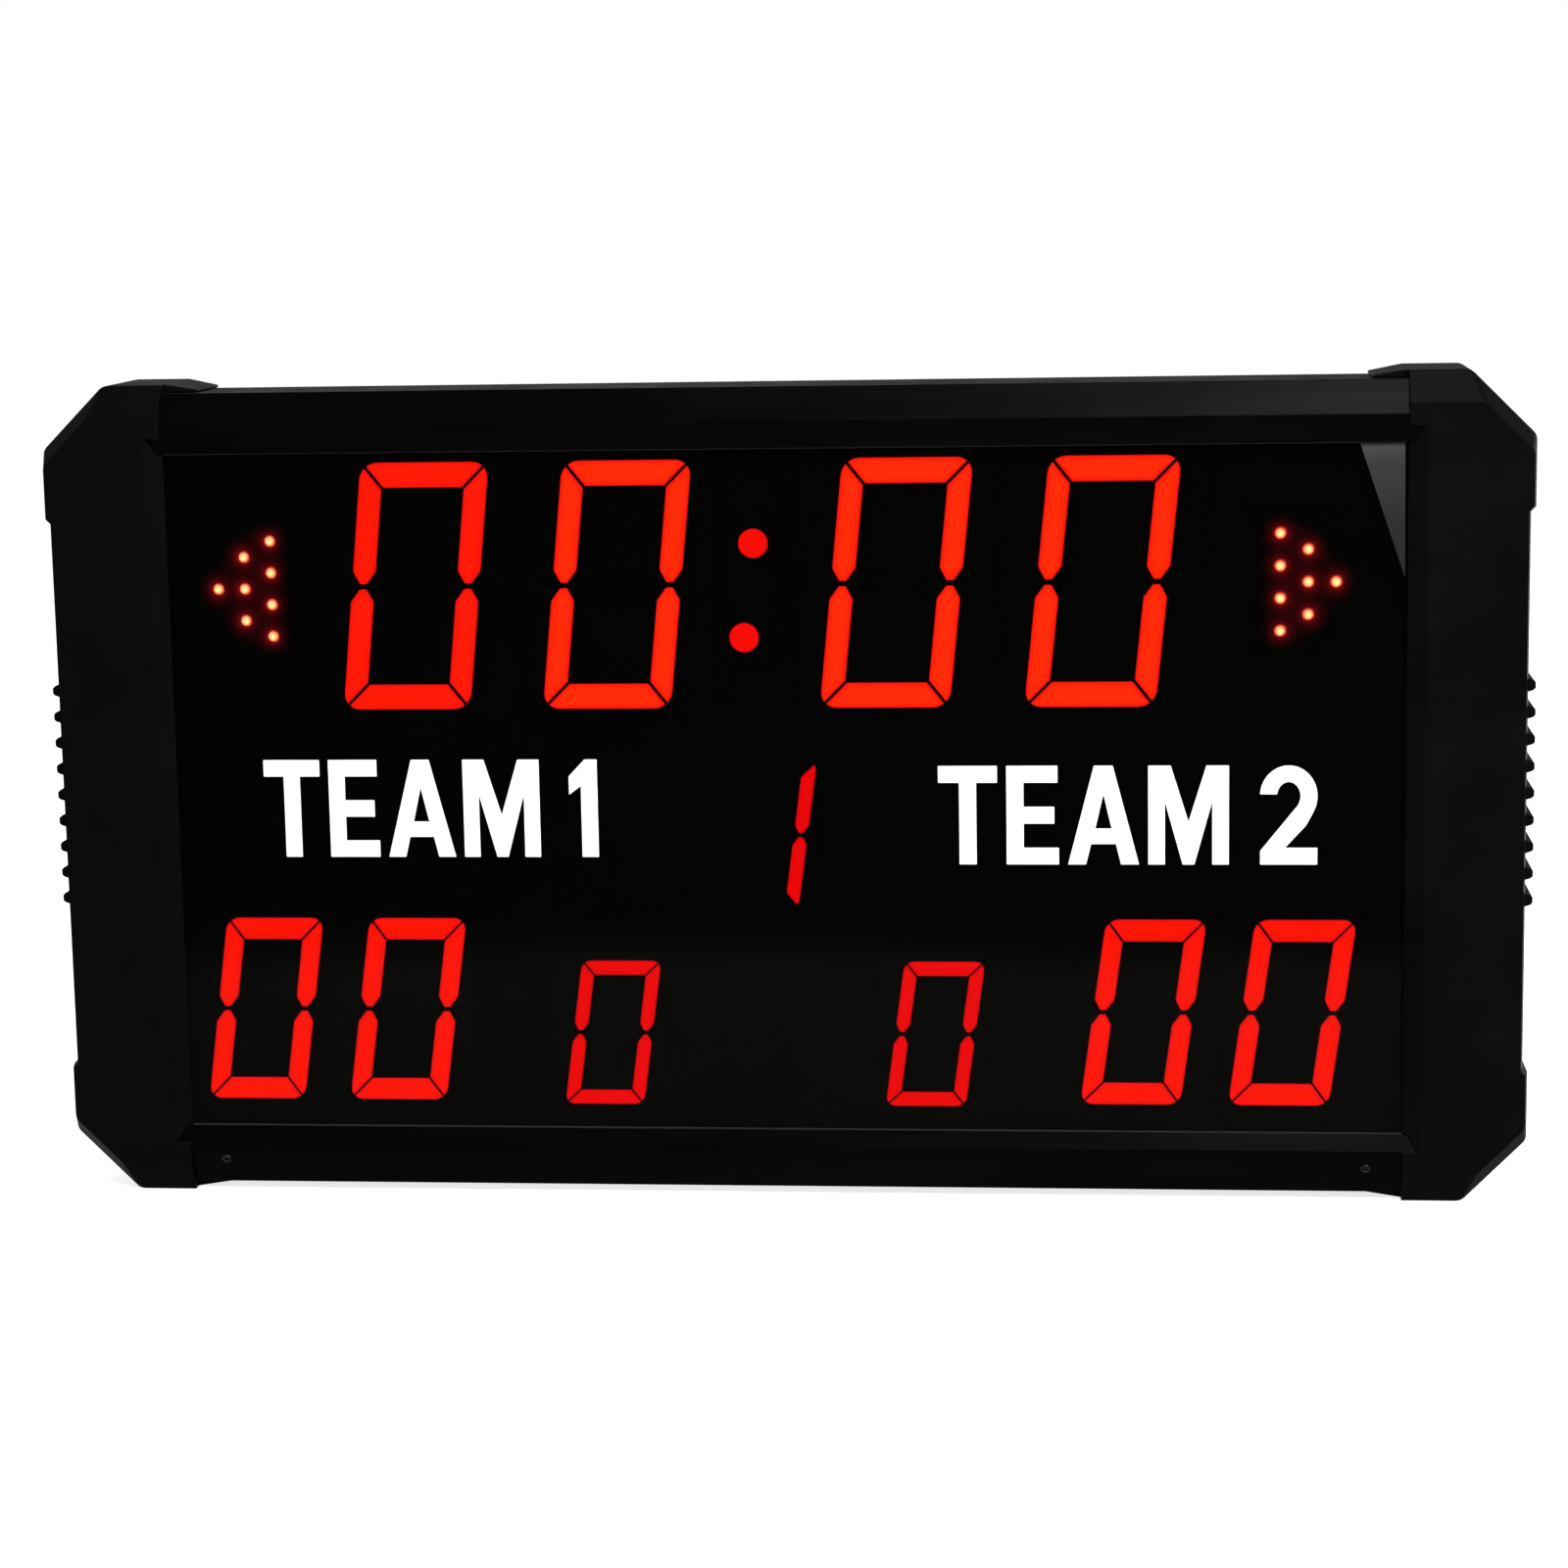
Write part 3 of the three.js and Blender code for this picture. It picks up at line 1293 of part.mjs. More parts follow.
function clockRibbonLine() {
  const plugLine = mainBoardFront - headerDepth / 2;
  const boardLine = clockBoardFront + boardThickness + headerDepth / 2;
  const start = clockPlug.z + headerHeight / 2 + seatGap;
  const end = clockHeader.z - headerHeight / 2 - seatGap;
  const straight = boardMargin / 2;
  return [[plugLine, start], [plugLine, start + straight], [boardLine, end - straight], [boardLine, end]];
}

function scoreRibbonLine() {
  const plugLine = mainBoardFront - headerDepth / 2;
  const boardLine = scoreBoardFront + boardThickness + headerDepth / 2;
  const start = scorePlug.z - headerHeight / 2 - seatGap;
  const end = scoreHeader.z + headerHeight / 2 + seatGap;
  const straight = boardMargin;
  return [[plugLine, start], [plugLine, start - straight], [boardLine, end + straight], [boardLine, end]];
}

function makeLead(points) {
  const curve = new THREE.CatmullRomCurve3(points.map((p) => new THREE.Vector3(...p)));
  const section = new THREE.Shape(disc(0, 0, leadRadius, 8).map((p) => new THREE.Vector2(...p)));
  const geometry = new THREE.ExtrudeGeometry(section, {
    steps: points.length * 4, extrudePath: curve, bevelEnabled: false,
  });
  return geometryOf(solid(geometry));
}

const switchTail = switchFace - switchFlangeThickness - switchBodyDepth - seatGap;
const jackTail = coverOuter + seatGap - jackDepth - seatGap;
const leadFloor = scoreBoardFront + boardThickness + 3 * leadRadius;

function jackLeadPoints() {
  const level = controlLevel - switchBodyHeight / 4;
  return [
    [jackCentre, jackTail, controlLevel],
    [jackCentre, jackTail - leadRadius, controlLevel],
    [jackCentre - boardMargin, leadFloor, controlLevel - boardMargin],
    [switchCentre / 2, leadFloor, level - 2 * boardMargin],
    [switchCentre + boardMargin, leadFloor, level - boardMargin],
    [switchCentre, switchTail - leadRadius, level],
    [switchCentre, switchTail, level],
  ];
}

function supplyLeadPoints() {
  const level = controlLevel + switchBodyHeight / 4;
  const top = supplyPlug.z - headerHeight / 2 - seatGap;
  const plugLine = mainBoardFront - headerDepth / 2;
  return [
    [switchCentre, switchTail, level],
    [switchCentre, switchTail - leadRadius, level],
    [switchCentre + boardMargin, leadFloor, level + boardMargin],
    [jackCentre, leadFloor, level + 3 * boardMargin],
    [buttonCentre, leadFloor, level + 5 * boardMargin],
    [(buttonCentre + regulatorCentre) / 2, leadFloor, (level + top) / 2],
    [supplyPlug.x, plugLine, top - 2 * boardMargin],
    [supplyPlug.x, plugLine, top],
  ];
}

function hornLeadPoints() {
  const start = hornLevel + hornRadius + hornFlangeWidth + seatGap;
  const end = hornPlug.z - headerHeight / 2 - seatGap;
  const line = coverInner - seatGap - hornFlange;
  return [
    [0, line - leadRadius, start],
    [0, line - leadRadius, start + boardMargin],
    [hornPlug.x / 2, line - headerDepth, (start + end) / 2],
    [hornPlug.x, mainBoardFront - headerDepth / 2, end - boardMargin],
    [hornPlug.x, mainBoardFront - headerDepth / 2, end],
  ];
}

// Rear feet, drawn about the hinge line with the plate along +y
function makeFoot() {
  const sole = padSole + seatGap;
  const corners = [
    [0, barrelLow],
    [footStep, barrelLow],
    [footShoulder, sole],
    [footLength, sole],
    [footLength, footTipHeight],
    [footShoulder, barrelHigh],
    [0, barrelHigh],
  ];
  const outline = roundOutline(corners, [0, 0, 0, 0, footTipRound, footTipRound, 0]);
  const plate = prismX(outline, -footThickness / 2, footThickness / 2);
  const foot = joined(solid(plate), [rodZ(0, 0, barrelLow, barrelHigh, barrelRadius, pinSides)]);
  return cutBy(foot, [rodZ(0, 0, barrelLow - cutOverrun, barrelHigh + cutOverrun,
    hingePinRadius + pinClearance, pinSides)]);
}

function makePad() {
  const groove = footThickness / 2 + seatGap;
  const outer = block(-padWidth / 2, padWidth / 2, padStart, footEnd, 0, padHeight);
  const channel = block(-groove, groove, padStart - cutOverrun, footLength + seatGap, padSole,
    padHeight + cutOverrun);
  return cutBy(solid(outer), [channel]);
}

function makePin() {
  const low = lugLow - hingePinTail;
  const seat = lugHigh + seatGap;
  return joined(solid(rodZ(0, 0, low, seat + joinOverlap, hingePinRadius, pinSides)), [
    rodZ(0, 0, seat, seat + hingePinHeadHeight, hingePinHead, pinSides),
  ]);
}

// The bracket's plate lies on the cover; lugs hold the pin and rivets pass through the cover
function makeBracket() {
  const plateFace = coverOuter + seatGap - hingeLine;
  const plateBack = plateFace + bracketPlate;
  const plate = block(-bracketWidth / 2, bracketWidth / 2, plateFace, plateBack, lugLow, lugHigh);
  const lugs = [lugLow, lugHigh - lugThickness].flatMap((low) => [
    block(-barrelRadius, barrelRadius, plateBack - joinOverlap, 0, low, low + lugThickness),
    rodZ(0, 0, low, low + lugThickness, barrelRadius, pinSides),
  ]);
  const tail = coverInner - seatGap - hingeLine;
  const rivets = rivetPlaces.flatMap(([side, z]) => {
    const x = side * rivetColumn;
    return [
      rodY(x, tail - joinOverlap, plateFace + joinOverlap, z, rivetRadius, smallSides),
      rodY(x, tail - rivetHeadHeight, tail, z, rivetHead, smallSides),
      rodY(x, plateBack - joinOverlap, plateBack + rivetHeadHeight, z, rivetHead, smallSides),
    ];
  });
  return cutBy(joined(solid(plate), [...lugs, ...rivets]), [
    rodZ(0, 0, lugLow - cutOverrun, lugHigh + cutOverrun, hingePinRadius + pinClearance, pinSides),
  ]);
}

// Housing
addPiece('top_rail', makeRail(true), 'railMetal');
addPiece('bottom_rail', makeRail(false), 'railMetal');
const cap = makeCap();
addPiece('right_end_cap', cap, 'capPlastic');
addPiece('left_end_cap', turnedCap(cap), 'capPlastic');
addPiece('back_cover', makeCover(), 'coverSheet');

const panelLow = railInset + panelEdge;
addPiece('front_panel', block(-panelHalf, panelHalf, panelFront, panelRear, panelLow,
  boardHeight - panelLow), 'smokedPanel');
[['top_panel_gasket', true], ['bottom_panel_gasket', false]].forEach(([name, top]) => {
  const strip = rectangle(grooveFront + seatGap, panelFront - seatGap, panelEdge, lipEnd + gasketReveal);
  addPiece(name, prismX(atRail(strip, top), seatGap - capInner, capInner - seatGap), 'blackRubber');
});

// Display
addPiece('display_mask', makeMask(), 'maskSheet');
digitPlaces.forEach(({ name, digit, x, z }) => addPiece(name, makeDigit(digit, x, z), 'redDisplay'));
addPiece('colon_module', makeColon(), 'redDisplay');
addPiece('clock_board', makeClockBoard(), 'circuitBoard');
addPiece('score_board', makeScoreBoard(), 'circuitBoard');
addPiece('left_arrow_board', makeArrowBoard(leftArrowBase, -1), 'circuitBoard');
addPiece('right_arrow_board', makeArrowBoard(rightArrowBase, 1), 'circuitBoard');

// Electronics behind the display
addPiece('main_board', makeMainBoard(), 'circuitBoard');
addPiece('regulator_board', makeRegulator(), 'circuitBoard');
addPiece('receiver_module', makeReceiver(), 'circuitBoard');
addPiece('receiver_antenna', makeAntenna(), 'switchPlastic');
addPiece('horn', makeHorn(), 'hornPlastic');
addPiece('clock_cable', makeRibbon(clockHeader.x, clockRibbonLine()), 'ribbonGrey');
addPiece('score_cable', makeRibbon(scoreHeader.x, scoreRibbonLine()), 'ribbonGrey');
addPiece('jack_lead', makeLead(jackLeadPoints()), 'leadRed');
addPiece('supply_lead', makeLead(supplyLeadPoints()), 'leadRed');
addPiece('horn_lead', makeLead(hornLeadPoints()), 'leadRed');

// Controls
addPiece('power_switch_housing', makeSwitchHousing(), 'switchPlastic');
const rocker = addPiece('power_rocker', makeRocker(), 'switchPlastic');
rocker.position.set(switchCentre, rockerAxis, controlLevel);
rocker.rotation.x = THREE.MathUtils.degToRad(rockerTilt);
addPiece('power_jack', makeJack(), 'switchPlastic');
addPiece('pairing_button_housing', makeButtonHousing(), 'switchPlastic');
addPiece('pairing_button', makeButton(), 'buttonPlastic');

// Screws
const sides = [['left', -1], ['right', 1]];
sides.forEach(([side, sign]) => {
  const screw = addPiece(`front_cap_screw_${side}`, makeScrew(frontScrew), 'blackScrew');
  const seat = new THREE.Vector3(0, -seatGap, 0).applyAxisAngle(unitX, frontScrewTilt);
  screw.position.set(sign * frontScrewColumn, railFace(frontScrewOffset) + seat.y,
    railInset + frontScrewOffset + seat.z);
  screw.rotation.x = frontScrewTilt + Math.PI;
});
[['upper', true], ['lower', false]].forEach(([level, top]) => {
  const [[y, z]] = atRail([[portCentre, portLevel]], top);
  sides.forEach(([side, sign]) => {
    const screw = addPiece(`${level}_cap_screw_${side}`, makeScrew(capScrew), 'blackScrew');
    screw.position.set(sign * (screwSeat + seatGap), y, z);
    screw.rotation.z = -sign * Math.PI / 2;
  });
});
coverScrewPlaces().forEach(([x, z], i) => {
  const screw = addPiece(`back_cover_screw_${i + 1}`, makeScrew(coverScrew), 'blackScrew');
  screw.position.set(x, coverOuter + seatGap, z);
});

// Rear feet
sides.forEach(([side, sign]) => {
  const column = sign * footColumn;
  addPiece(`${side}_stand_foot`, makeFoot(), 'footSteel').position.set(column, hingeLine, 0);
  addPiece(`${side}_foot_pad`, makePad(), 'blackRubber').position.set(column, hingeLine, 0);
  addPiece(`${side}_foot_pin`, makePin(), 'steel').position.set(column, hingeLine, 0);
  addPiece(`${side}_foot_bracket`, makeBracket(), 'footSteel').position.set(column, hingeLine, 0);
});

// The origin lies under the middle of the whole depth, feet included
board.position.y = -(capFront + hingeLine + footEnd) / 2;

export default board;
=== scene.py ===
"""Electronic scoreboard: finishes, lit displays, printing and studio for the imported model."""

import math

import bmesh
import bpy
from mathutils import Matrix, Vector


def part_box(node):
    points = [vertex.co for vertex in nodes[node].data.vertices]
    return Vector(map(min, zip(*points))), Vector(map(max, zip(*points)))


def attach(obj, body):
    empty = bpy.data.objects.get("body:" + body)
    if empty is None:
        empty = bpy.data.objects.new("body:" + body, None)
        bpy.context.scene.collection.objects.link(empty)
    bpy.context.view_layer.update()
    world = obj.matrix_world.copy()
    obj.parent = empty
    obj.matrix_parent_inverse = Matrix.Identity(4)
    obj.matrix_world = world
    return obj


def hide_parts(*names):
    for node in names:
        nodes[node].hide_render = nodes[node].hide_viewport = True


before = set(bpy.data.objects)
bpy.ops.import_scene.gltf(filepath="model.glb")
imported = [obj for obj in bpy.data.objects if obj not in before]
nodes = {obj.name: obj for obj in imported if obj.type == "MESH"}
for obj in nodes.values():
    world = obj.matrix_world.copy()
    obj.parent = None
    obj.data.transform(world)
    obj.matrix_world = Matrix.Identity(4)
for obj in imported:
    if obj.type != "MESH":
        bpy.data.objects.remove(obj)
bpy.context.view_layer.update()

MM = 0.001

# Seven-segment faces in millimetres and degrees: the same sizes as the solids
CLOCK_FACE = dict(height=101.6, width=52.9, bar=10.3, stroke=9.4, round=7, split=1.2, tip_gap=2.2, slant=6)
SCORE_FACE = dict(height=77.5, width=40.9, bar=9.1, stroke=8, round=5.4, split=0.8, tip_gap=1.9, slant=8)
SMALL_FACE = dict(height=61, width=33.1, bar=6, stroke=5.7, round=4, split=0.7, tip_gap=1.8, slant=8)
TIP_WIDTH_SHARE = 0.3
TAPER_SHARE = 0.55

# A corner moves inwards by at most the inset's distance divided by this, so that sharp ones don't run away
SHARP_CORNER_SHARE = 0.35

# Modules and their diffusers in millimetres
HOUSING_FILL = 0.25
HOUSING_SOFT_EDGE = 0.6
SEGMENT_RISE = 0.4
RIM_WIDTH = 0.7
RIM_DEPTH = 0.1
RIM_STEP_SHARE = 0.35
CORE_SHARE = 0.24

# Warmth of a diffuser: at its foot, its rim, two steps inwards and its middle
WARMTHS = (0.0, 0.05, 0.3, 0.45, 1.0)

# Colon dots in millimetres
DOT_RADIUS = 6
DOT_OFFSET = 2.15
DOT_SPACING = 38.4
DOT_SIDES = 40
DOT_CORE_SHARE = 0.55

# Arrow lamps in millimetres: each arrow's first column, and the way in which it points
ARROWS = (("left", -209.8, -1), ("right", 201.6, 1))
LAMP_COLUMNS = (4, 3, 1)
COLUMN_PITCH = 11.1
LAMP_PITCH = 13.1
LAMP_RADIUS = 2.5
LAMP_DOME = 2.2
LAMP_SIDES = 24
LENS_RINGS = 14
LENS_SINK_SHARE = 0.05
LENS_GIRTH_SHARE = 0.985
COLLAR_SHARE = 1.16
COLLAR_DEPTH = 1.0
BOARD_THICKNESS = 1.6
PLATE_MARGIN = 0.05

# Sheet of painted glow over the arrow lamps, in millimetres
GLOW_MARGIN = 11
GLOW_STEP = 0.75
GLOW_BORDER_STEPS = 12
GLOW_FLOOR = 0.006
GLOW_SPREAD = 2.6
GLOW_DEPTH_SHARES = (2 / 3, 5 / 6)

# Cover screws in millimetres, and their heads in shares of the head's radius and height
SCREW_SHANK_RADIUS = 1.45
RECESS_WIDTH = 0.9
RECESS_DEPTH = 1.7
RECESS_SPAN = 3.4
HEAD_SIDES = 40
SHANK_SIDES = 24
CROWN_TOP_SHARE = 0.72
CROWN_BASE_SHARE = 0.97
CROWN_DEPTH_SHARE = 0.7
CROWN_START_SHARE = 0.3
BRIM_DEPTH_SHARE = 0.5
SHANK_SINK_SHARE = 0.2
SECOND_SLOT_SHARE = 1.05

# Rocker paddle and its marks in millimetres and degrees; places run from the crown to the end
ROCKER_AXIS_DEPTH = 2
ROCKER_CROWN = 3
ROCKER_END = 4
ROCKER_HALF_LENGTH = 7.6
ROCKER_TILT = 10
BAR_MARK_WIDTH = 0.7
BAR_MARK_START = 2.6
BAR_MARK_END = 5.8
RING_MARK_PLACE = 4.1
RING_MARK_OUTER = 1.75
RING_MARK_INNER = 1.15
RING_MARK_SIDES = 32
MARK_FOOT = 0.01
MARK_FACE = 0.07

# Printed legends in millimetres: letter sizes, then name, text, left end, baseline and width
LETTER_HEIGHT = 40.6
LETTER_STEM = 7.7
LETTER_BAR = 6.9
LETTER_WIDTHS = {"T": 26.6, "E": 23.5, "A": 31.8, "M": 36, "1": 13.3, "2": 25.4}
LETTER_GAP = 4.2
WORD_GAP = 14
PRINT_THICKNESS = 0.06
PRINT_LIFT = 0.01
SAME_POINT = 0.001
LEGENDS = (("left_team_legend", "TEAM 1", -215.2, 142.6, 139.2),
           ("right_team_legend", "TEAM 2", 63.9, 139.6, 152.8))

# Smoked panel and the thin sheet in its corner, in millimetres: each has a painted reflection whose tone
# changes between two heights
PANEL_REFLECTION_HEIGHTS = (106, 130)
REFLECTION_TONE_HEIGHTS = (262, 309)
REFLECTION_CORNER = ((232.6, 309.2), (250.6, 255.6), (250.2, 309.2))
REFLECTION_SHEET_THICKNESS = 0.05
REFLECTION_SHEET_LIFT = 0.02

# Ridges of the ribbon cables and of the foot pads in millimetres
RIBBON_PITCH = 1.27
PAD_RIB_PITCH = 3.5

# Studio in metres, degrees and watts: lights by name, place, target, size and power
CAMERA_PLACE = (0.1496, -1.53385, 0.4194)
CAMERA_YAW, CAMERA_PITCH, CAMERA_ROLL = -5.788, 9.498, -1.038
FOCAL_PIXELS, FRAME_PIXELS = 3736.1, 1600
SENSOR_WIDTH = 36
CLIP_START, CLIP_END = 0.05, 50
SKY_STRENGTH = 0.38
FLOOR_STRENGTH = 0.78
FLOOR_HALF_WIDTH = 6
FLOOR_LEVEL = -0.0003
CASE_MIDDLE = (0, 0, 0.17)
LIGHTS = (
    ("key_light", (1.4, -1.4, 1.4), CASE_MIDDLE, (1.1, 0.9), 20),
    ("fill_light", (-1.7, -1.5, 0.9), CASE_MIDDLE, (1.4, 1.0), 4),
    ("upper_light", (0.6, -1.36, 1.32), (0.2, -0.07, 0.33), (0.8, 0.5), 50),
    ("rear_light", (-0.6, 1.9, 1.5), CASE_MIDDLE, (1.4, 1.0), 30),
    ("rear_side_light", (1.5, 1.1, 0.8), CASE_MIDDLE, (0.6, 1.0), 16),
)

# A wave texture has this many bands in one unit when its scale is 1
WAVE_BANDS = 3.18


# Node trees

class NodeTree:
    """Short calls that add nodes to a tree, set their sockets and hand on their outputs."""

    def __init__(self, tree):
        self.tree = tree
        tree.nodes.clear()

    def put(self, socket, value):
        """Give a socket a value, or join another node's output to it."""
        if isinstance(value, bpy.types.NodeSocket):
            self.tree.links.new(value, socket)
            return
        if socket.type == "RGBA" and len(value) == 3:
            value = (*value, 1)
        socket.default_value = value

    def add(self, kind, settings=(), **sockets):
        """A shader node, or a Geometry Nodes one where its full name is given."""
        node = self.tree.nodes.new(kind if kind.startswith("GeometryNode") else "ShaderNode" + kind)
        for name, value in dict(settings).items():
            setattr(node, name, value)
        for name, value in sockets.items():
            self.put(node.inputs[name.replace("_", " ")], value)
        return node

    def math(self, operation, *values):
        node = self.add("Math", {"operation": operation})
        for socket, value in zip(node.inputs, values):
            self.put(socket, value)
        return node.outputs["Value"]

    def seen_white(self):
        """1 where the studio is seen, straight, in a mirror or through a clear piece; 0 for its light."""
        ray = self.add("LightPath").outputs
        looked_at = self.math("MAXIMUM", ray["Is Camera Ray"], ray["Is Glossy Ray"])
        return self.math("MAXIMUM", looked_at, ray["Is Transmission Ray"])


# Materials

class Finish(NodeTree):
    """A material with one Principled shader and patterns in object coordinates."""

    def __init__(self, name, **sockets):
        self.material = bpy.data.materials.new(name)
        self.material.use_nodes = True
        super().__init__(self.material.node_tree)
        self.shader = self.add("BsdfPrincipled", **sockets)
        self.add("OutputMaterial", Surface=self.shader.outputs["BSDF"])

    def shade(self, **sockets):
        for name, value in sockets.items():
            self.put(self.shader.inputs[name.replace("_", " ")], value)

    def place(self, stretch=(1, 1, 1)):
        """Object coordinates, in metres, stretched for a pattern."""
        coordinates = self.add("TexCoord").outputs["Object"]
        return self.add("Mapping", Vector=coordinates, Scale=stretch).outputs["Vector"]

    def axis(self, name, vector):
        return self.add("SeparateXYZ", Vector=vector).outputs[name]

    def noise(self, scale, detail=3, roughness=0.5, stretch=(1, 1, 1)):
        pattern = self.add("TexNoise", Vector=self.place(stretch), Scale=scale, Detail=detail,
                           Roughness=roughness)
        return pattern.outputs["Fac"]

    def core(self):
        """The piece's own attribute: its distance from the rim to the middle of a light."""
        return self.add("Attribute", {"attribute_name": "core"}).outputs["Fac"]

    def bands(self, direction, pitch):
        """Ridges across one axis with a pitch in millimetres."""
        settings = {"wave_type": "BANDS", "bands_direction": direction, "wave_profile": "SIN"}
        wave = self.add("TexWave", settings, Vector=self.place(), Scale=1 / (pitch * MM) / WAVE_BANDS)
        return wave.outputs["Fac"]

    def span(self, value, low, high, start=0.0, end=1.0, curve="LINEAR"):
        """A value between two limits, spread over a range."""
        spread = self.add("MapRange", {"interpolation_type": curve}, Value=value, From_Min=low,
                          From_Max=high, To_Min=start, To_Max=end)
        return spread.outputs["Result"]

    def ramp(self, source, stops, socket=None):
        """Colour stops over a value, also joined to the shader's socket; greys are given as one number."""
        ramp = self.add("ValToRGB", Fac=source)
        elements = ramp.color_ramp.elements
        while len(elements) < len(stops):
            elements.new(0.5)
        for element, (position, colour) in zip(elements, stops):
            element.position = position
            element.color = (*(colour if isinstance(colour, tuple) else (colour,) * 3), 1)
        if socket:
            self.put(self.shader.inputs[socket], ramp.outputs["Color"])
        return ramp.outputs["Color"]

    def mix(self, share, first, second):
        mixed = self.add("Mix", {"data_type": "RGBA"}, Factor=share, A=first, B=second)
        return mixed.outputs["Result"]

    def bump(self, source, height, strength=1.0, edge=0.0, under=None):
        """Surface relief of a real height in millimetres; edge rounds the sharp corners in mm."""
        relief = self.add("Bump", Strength=strength, Distance=height * MM, Height=source)
        if edge:
            under = self.add("Bevel", {"samples": 4}, Radius=edge * MM).outputs["Normal"]
        if under is not None:
            self.put(relief.inputs["Normal"], under)
        self.shade(Normal=relief.outputs["Normal"])
        return relief.outputs["Normal"]

    def coat(self, pattern, colours, roughs, height, edge=0.0):
        """One pattern for the colour, the roughness and the relief."""
        self.ramp(pattern, colours, "Base Color")
        self.ramp(pattern, roughs, "Roughness")
        self.bump(pattern, height, edge=edge)


def settled_dust(finish, base, rough, tone=0.008, metallic=0.0):
    """Matt dust on faces that look upwards, over the base colour and roughness given; it hides the metal."""
    facing = finish.axis("Z", finish.add("NewGeometry").outputs["True Normal"])
    upward = finish.span(facing, 0.55, 0.98, curve="SMOOTHSTEP")
    film = finish.ramp(finish.noise(55, 5, 0.6), [(0.25, 0.75), (0.7, 1.0)])
    cover = finish.math("MULTIPLY", upward, film)
    finish.shade(Base_Color=finish.mix(cover, base, (tone, tone, tone * 0.97)),
                 Roughness=finish.mix(cover, rough, (0.97, 0.97, 0.97)))
    if metallic:
        finish.shade(Metallic=finish.span(cover, 0.0, 1.0, metallic, 0.0))


def textured_plastic(name, dark, light, rough, grain, relief, gloss, edge):
    """Moulded plastic with a fine spark texture, faint clouding and softened edges."""
    finish = Finish(name, Specular_IOR_Level=gloss)
    clouds = finish.ramp(finish.noise(22, 4, 0.6), [(0.3, dark), (0.72, light)])
    texture = finish.noise(1 / (grain * MM), 2, 0.6)
    satin = finish.ramp(texture, [(0.3, rough - 0.08), (0.7, rough + 0.08)])
    settled_dust(finish, clouds, satin)
    finish.bump(texture, relief, edge=edge)
    return finish.material


def extruded_metal(name, dark, light, rough):
    """Dark satin extrusion with drawn lines along its length."""
    finish = Finish(name, Specular_IOR_Level=0.012)
    lines = finish.noise(1, 4, 0.7, (4, 2600, 2600))
    clouds = finish.ramp(finish.noise(9, 3, 0.5, (1, 6, 6)), [(0.3, dark), (0.75, light)])
    satin = finish.ramp(lines, [(0.3, rough - 0.07), (0.7, rough + 0.09)])
    settled_dust(finish, clouds, satin, tone=0.005, metallic=0.6)
    finish.bump(lines, 0.008, edge=0.35)
    return finish.material


def powder_coat(name, dark, light, rough, gloss):
    """Powder-coated steel: fine orange peel over a slow change of tone."""
    finish = Finish(name, Specular_IOR_Level=gloss)
    peel = finish.noise(1500, 3, 0.55)
    clouds = finish.ramp(finish.noise(14, 3, 0.5), [(0.3, dark), (0.75, light)])
    satin = finish.ramp(peel, [(0.35, rough - 0.06), (0.65, rough + 0.06)])
    settled_dust(finish, clouds, satin)
    finish.bump(peel, 0.035, edge=0.3)
    return finish.material


def blackened_steel(name, colour, rough):
    """Oiled black fastener steel, worn paler in small patches."""
    finish = Finish(name, Metallic=1.0)
    finish.coat(finish.noise(420, 4, 0.65), [(0.45, colour), (0.78, tuple(4 * c for c in colour))],
                [(0.3, rough - 0.08), (0.7, rough + 0.1)], 0.01, edge=0.15)
    return finish.material


def turned_steel(name):
    """Bright turned pin steel with rings around its length."""
    finish = Finish(name, Metallic=1.0)
    finish.coat(finish.noise(1, 3, 0.6, (300, 300, 5200)), [(0.3, 0.34), (0.7, 0.5)],
                [(0.3, 0.22), (0.7, 0.38)], 0.006, edge=0.15)
    return finish.material


def soft_rubber(name, dark, light, ribs=None):
    """Matt rubber with a dusty bloom; ribs gives the pitch in mm of moulded grip lines along Y."""
    finish = Finish(name, Specular_IOR_Level=0.2)
    bloom = finish.noise(90, 5, 0.65)
    finish.ramp(bloom, [(0.35, dark), (0.75, light)], "Base Color")
    finish.ramp(bloom, [(0.3, 0.7), (0.7, 0.9)], "Roughness")
    skin = finish.bump(finish.noise(2400, 2), 0.03, edge=0.3)
    if ribs:
        finish.bump(finish.bands("Y", ribs), 0.25, strength=0.8, under=skin)
    return finish.material


def smoked_acrylic(name):
    """Polished smoked sheet: half of the light behind it comes through, and a painted reflection makes it
    paler low down.
    """
    finish = Finish(name, Alpha=0.5, IOR=1.49, Specular_IOR_Level=0.012)
    height = finish.axis("Z", finish.place())
    clouded = finish.math("MULTIPLY_ADD", finish.noise(7, 2, 0.4), 0.03, height)
    # Painted reflection: the base colour is paler below the lower height and dark above the upper one
    level = finish.span(clouded, *(z * MM for z in PANEL_REFLECTION_HEIGHTS), curve="SMOOTHSTEP")
    finish.ramp(level, [(0.0, (0.0026, 0.0025, 0.0022)), (1.0, (0.0004, 0.0004, 0.0003))], "Base Color")
    finish.ramp(finish.noise(60, 4, 0.6), [(0.35, 0.16), (0.8, 0.22)], "Roughness")
    finish.bump(finish.noise(14, 1, 0.4), 0.004)
    return finish.material


def flat_sheet(name):
    """Flocked black sheet of the display mask: no shine at all, and a faint brushed nap."""
    finish = Finish(name, Specular_IOR_Level=0.0)
    nap = finish.noise(900, 4, 0.7, (1, 1, 0.25))
    finish.coat(nap, [(0.3, 0.0014), (0.75, (0.0028, 0.0028, 0.0027))], [(0.3, 0.8), (0.7, 0.95)], 0.02)
    return finish.material


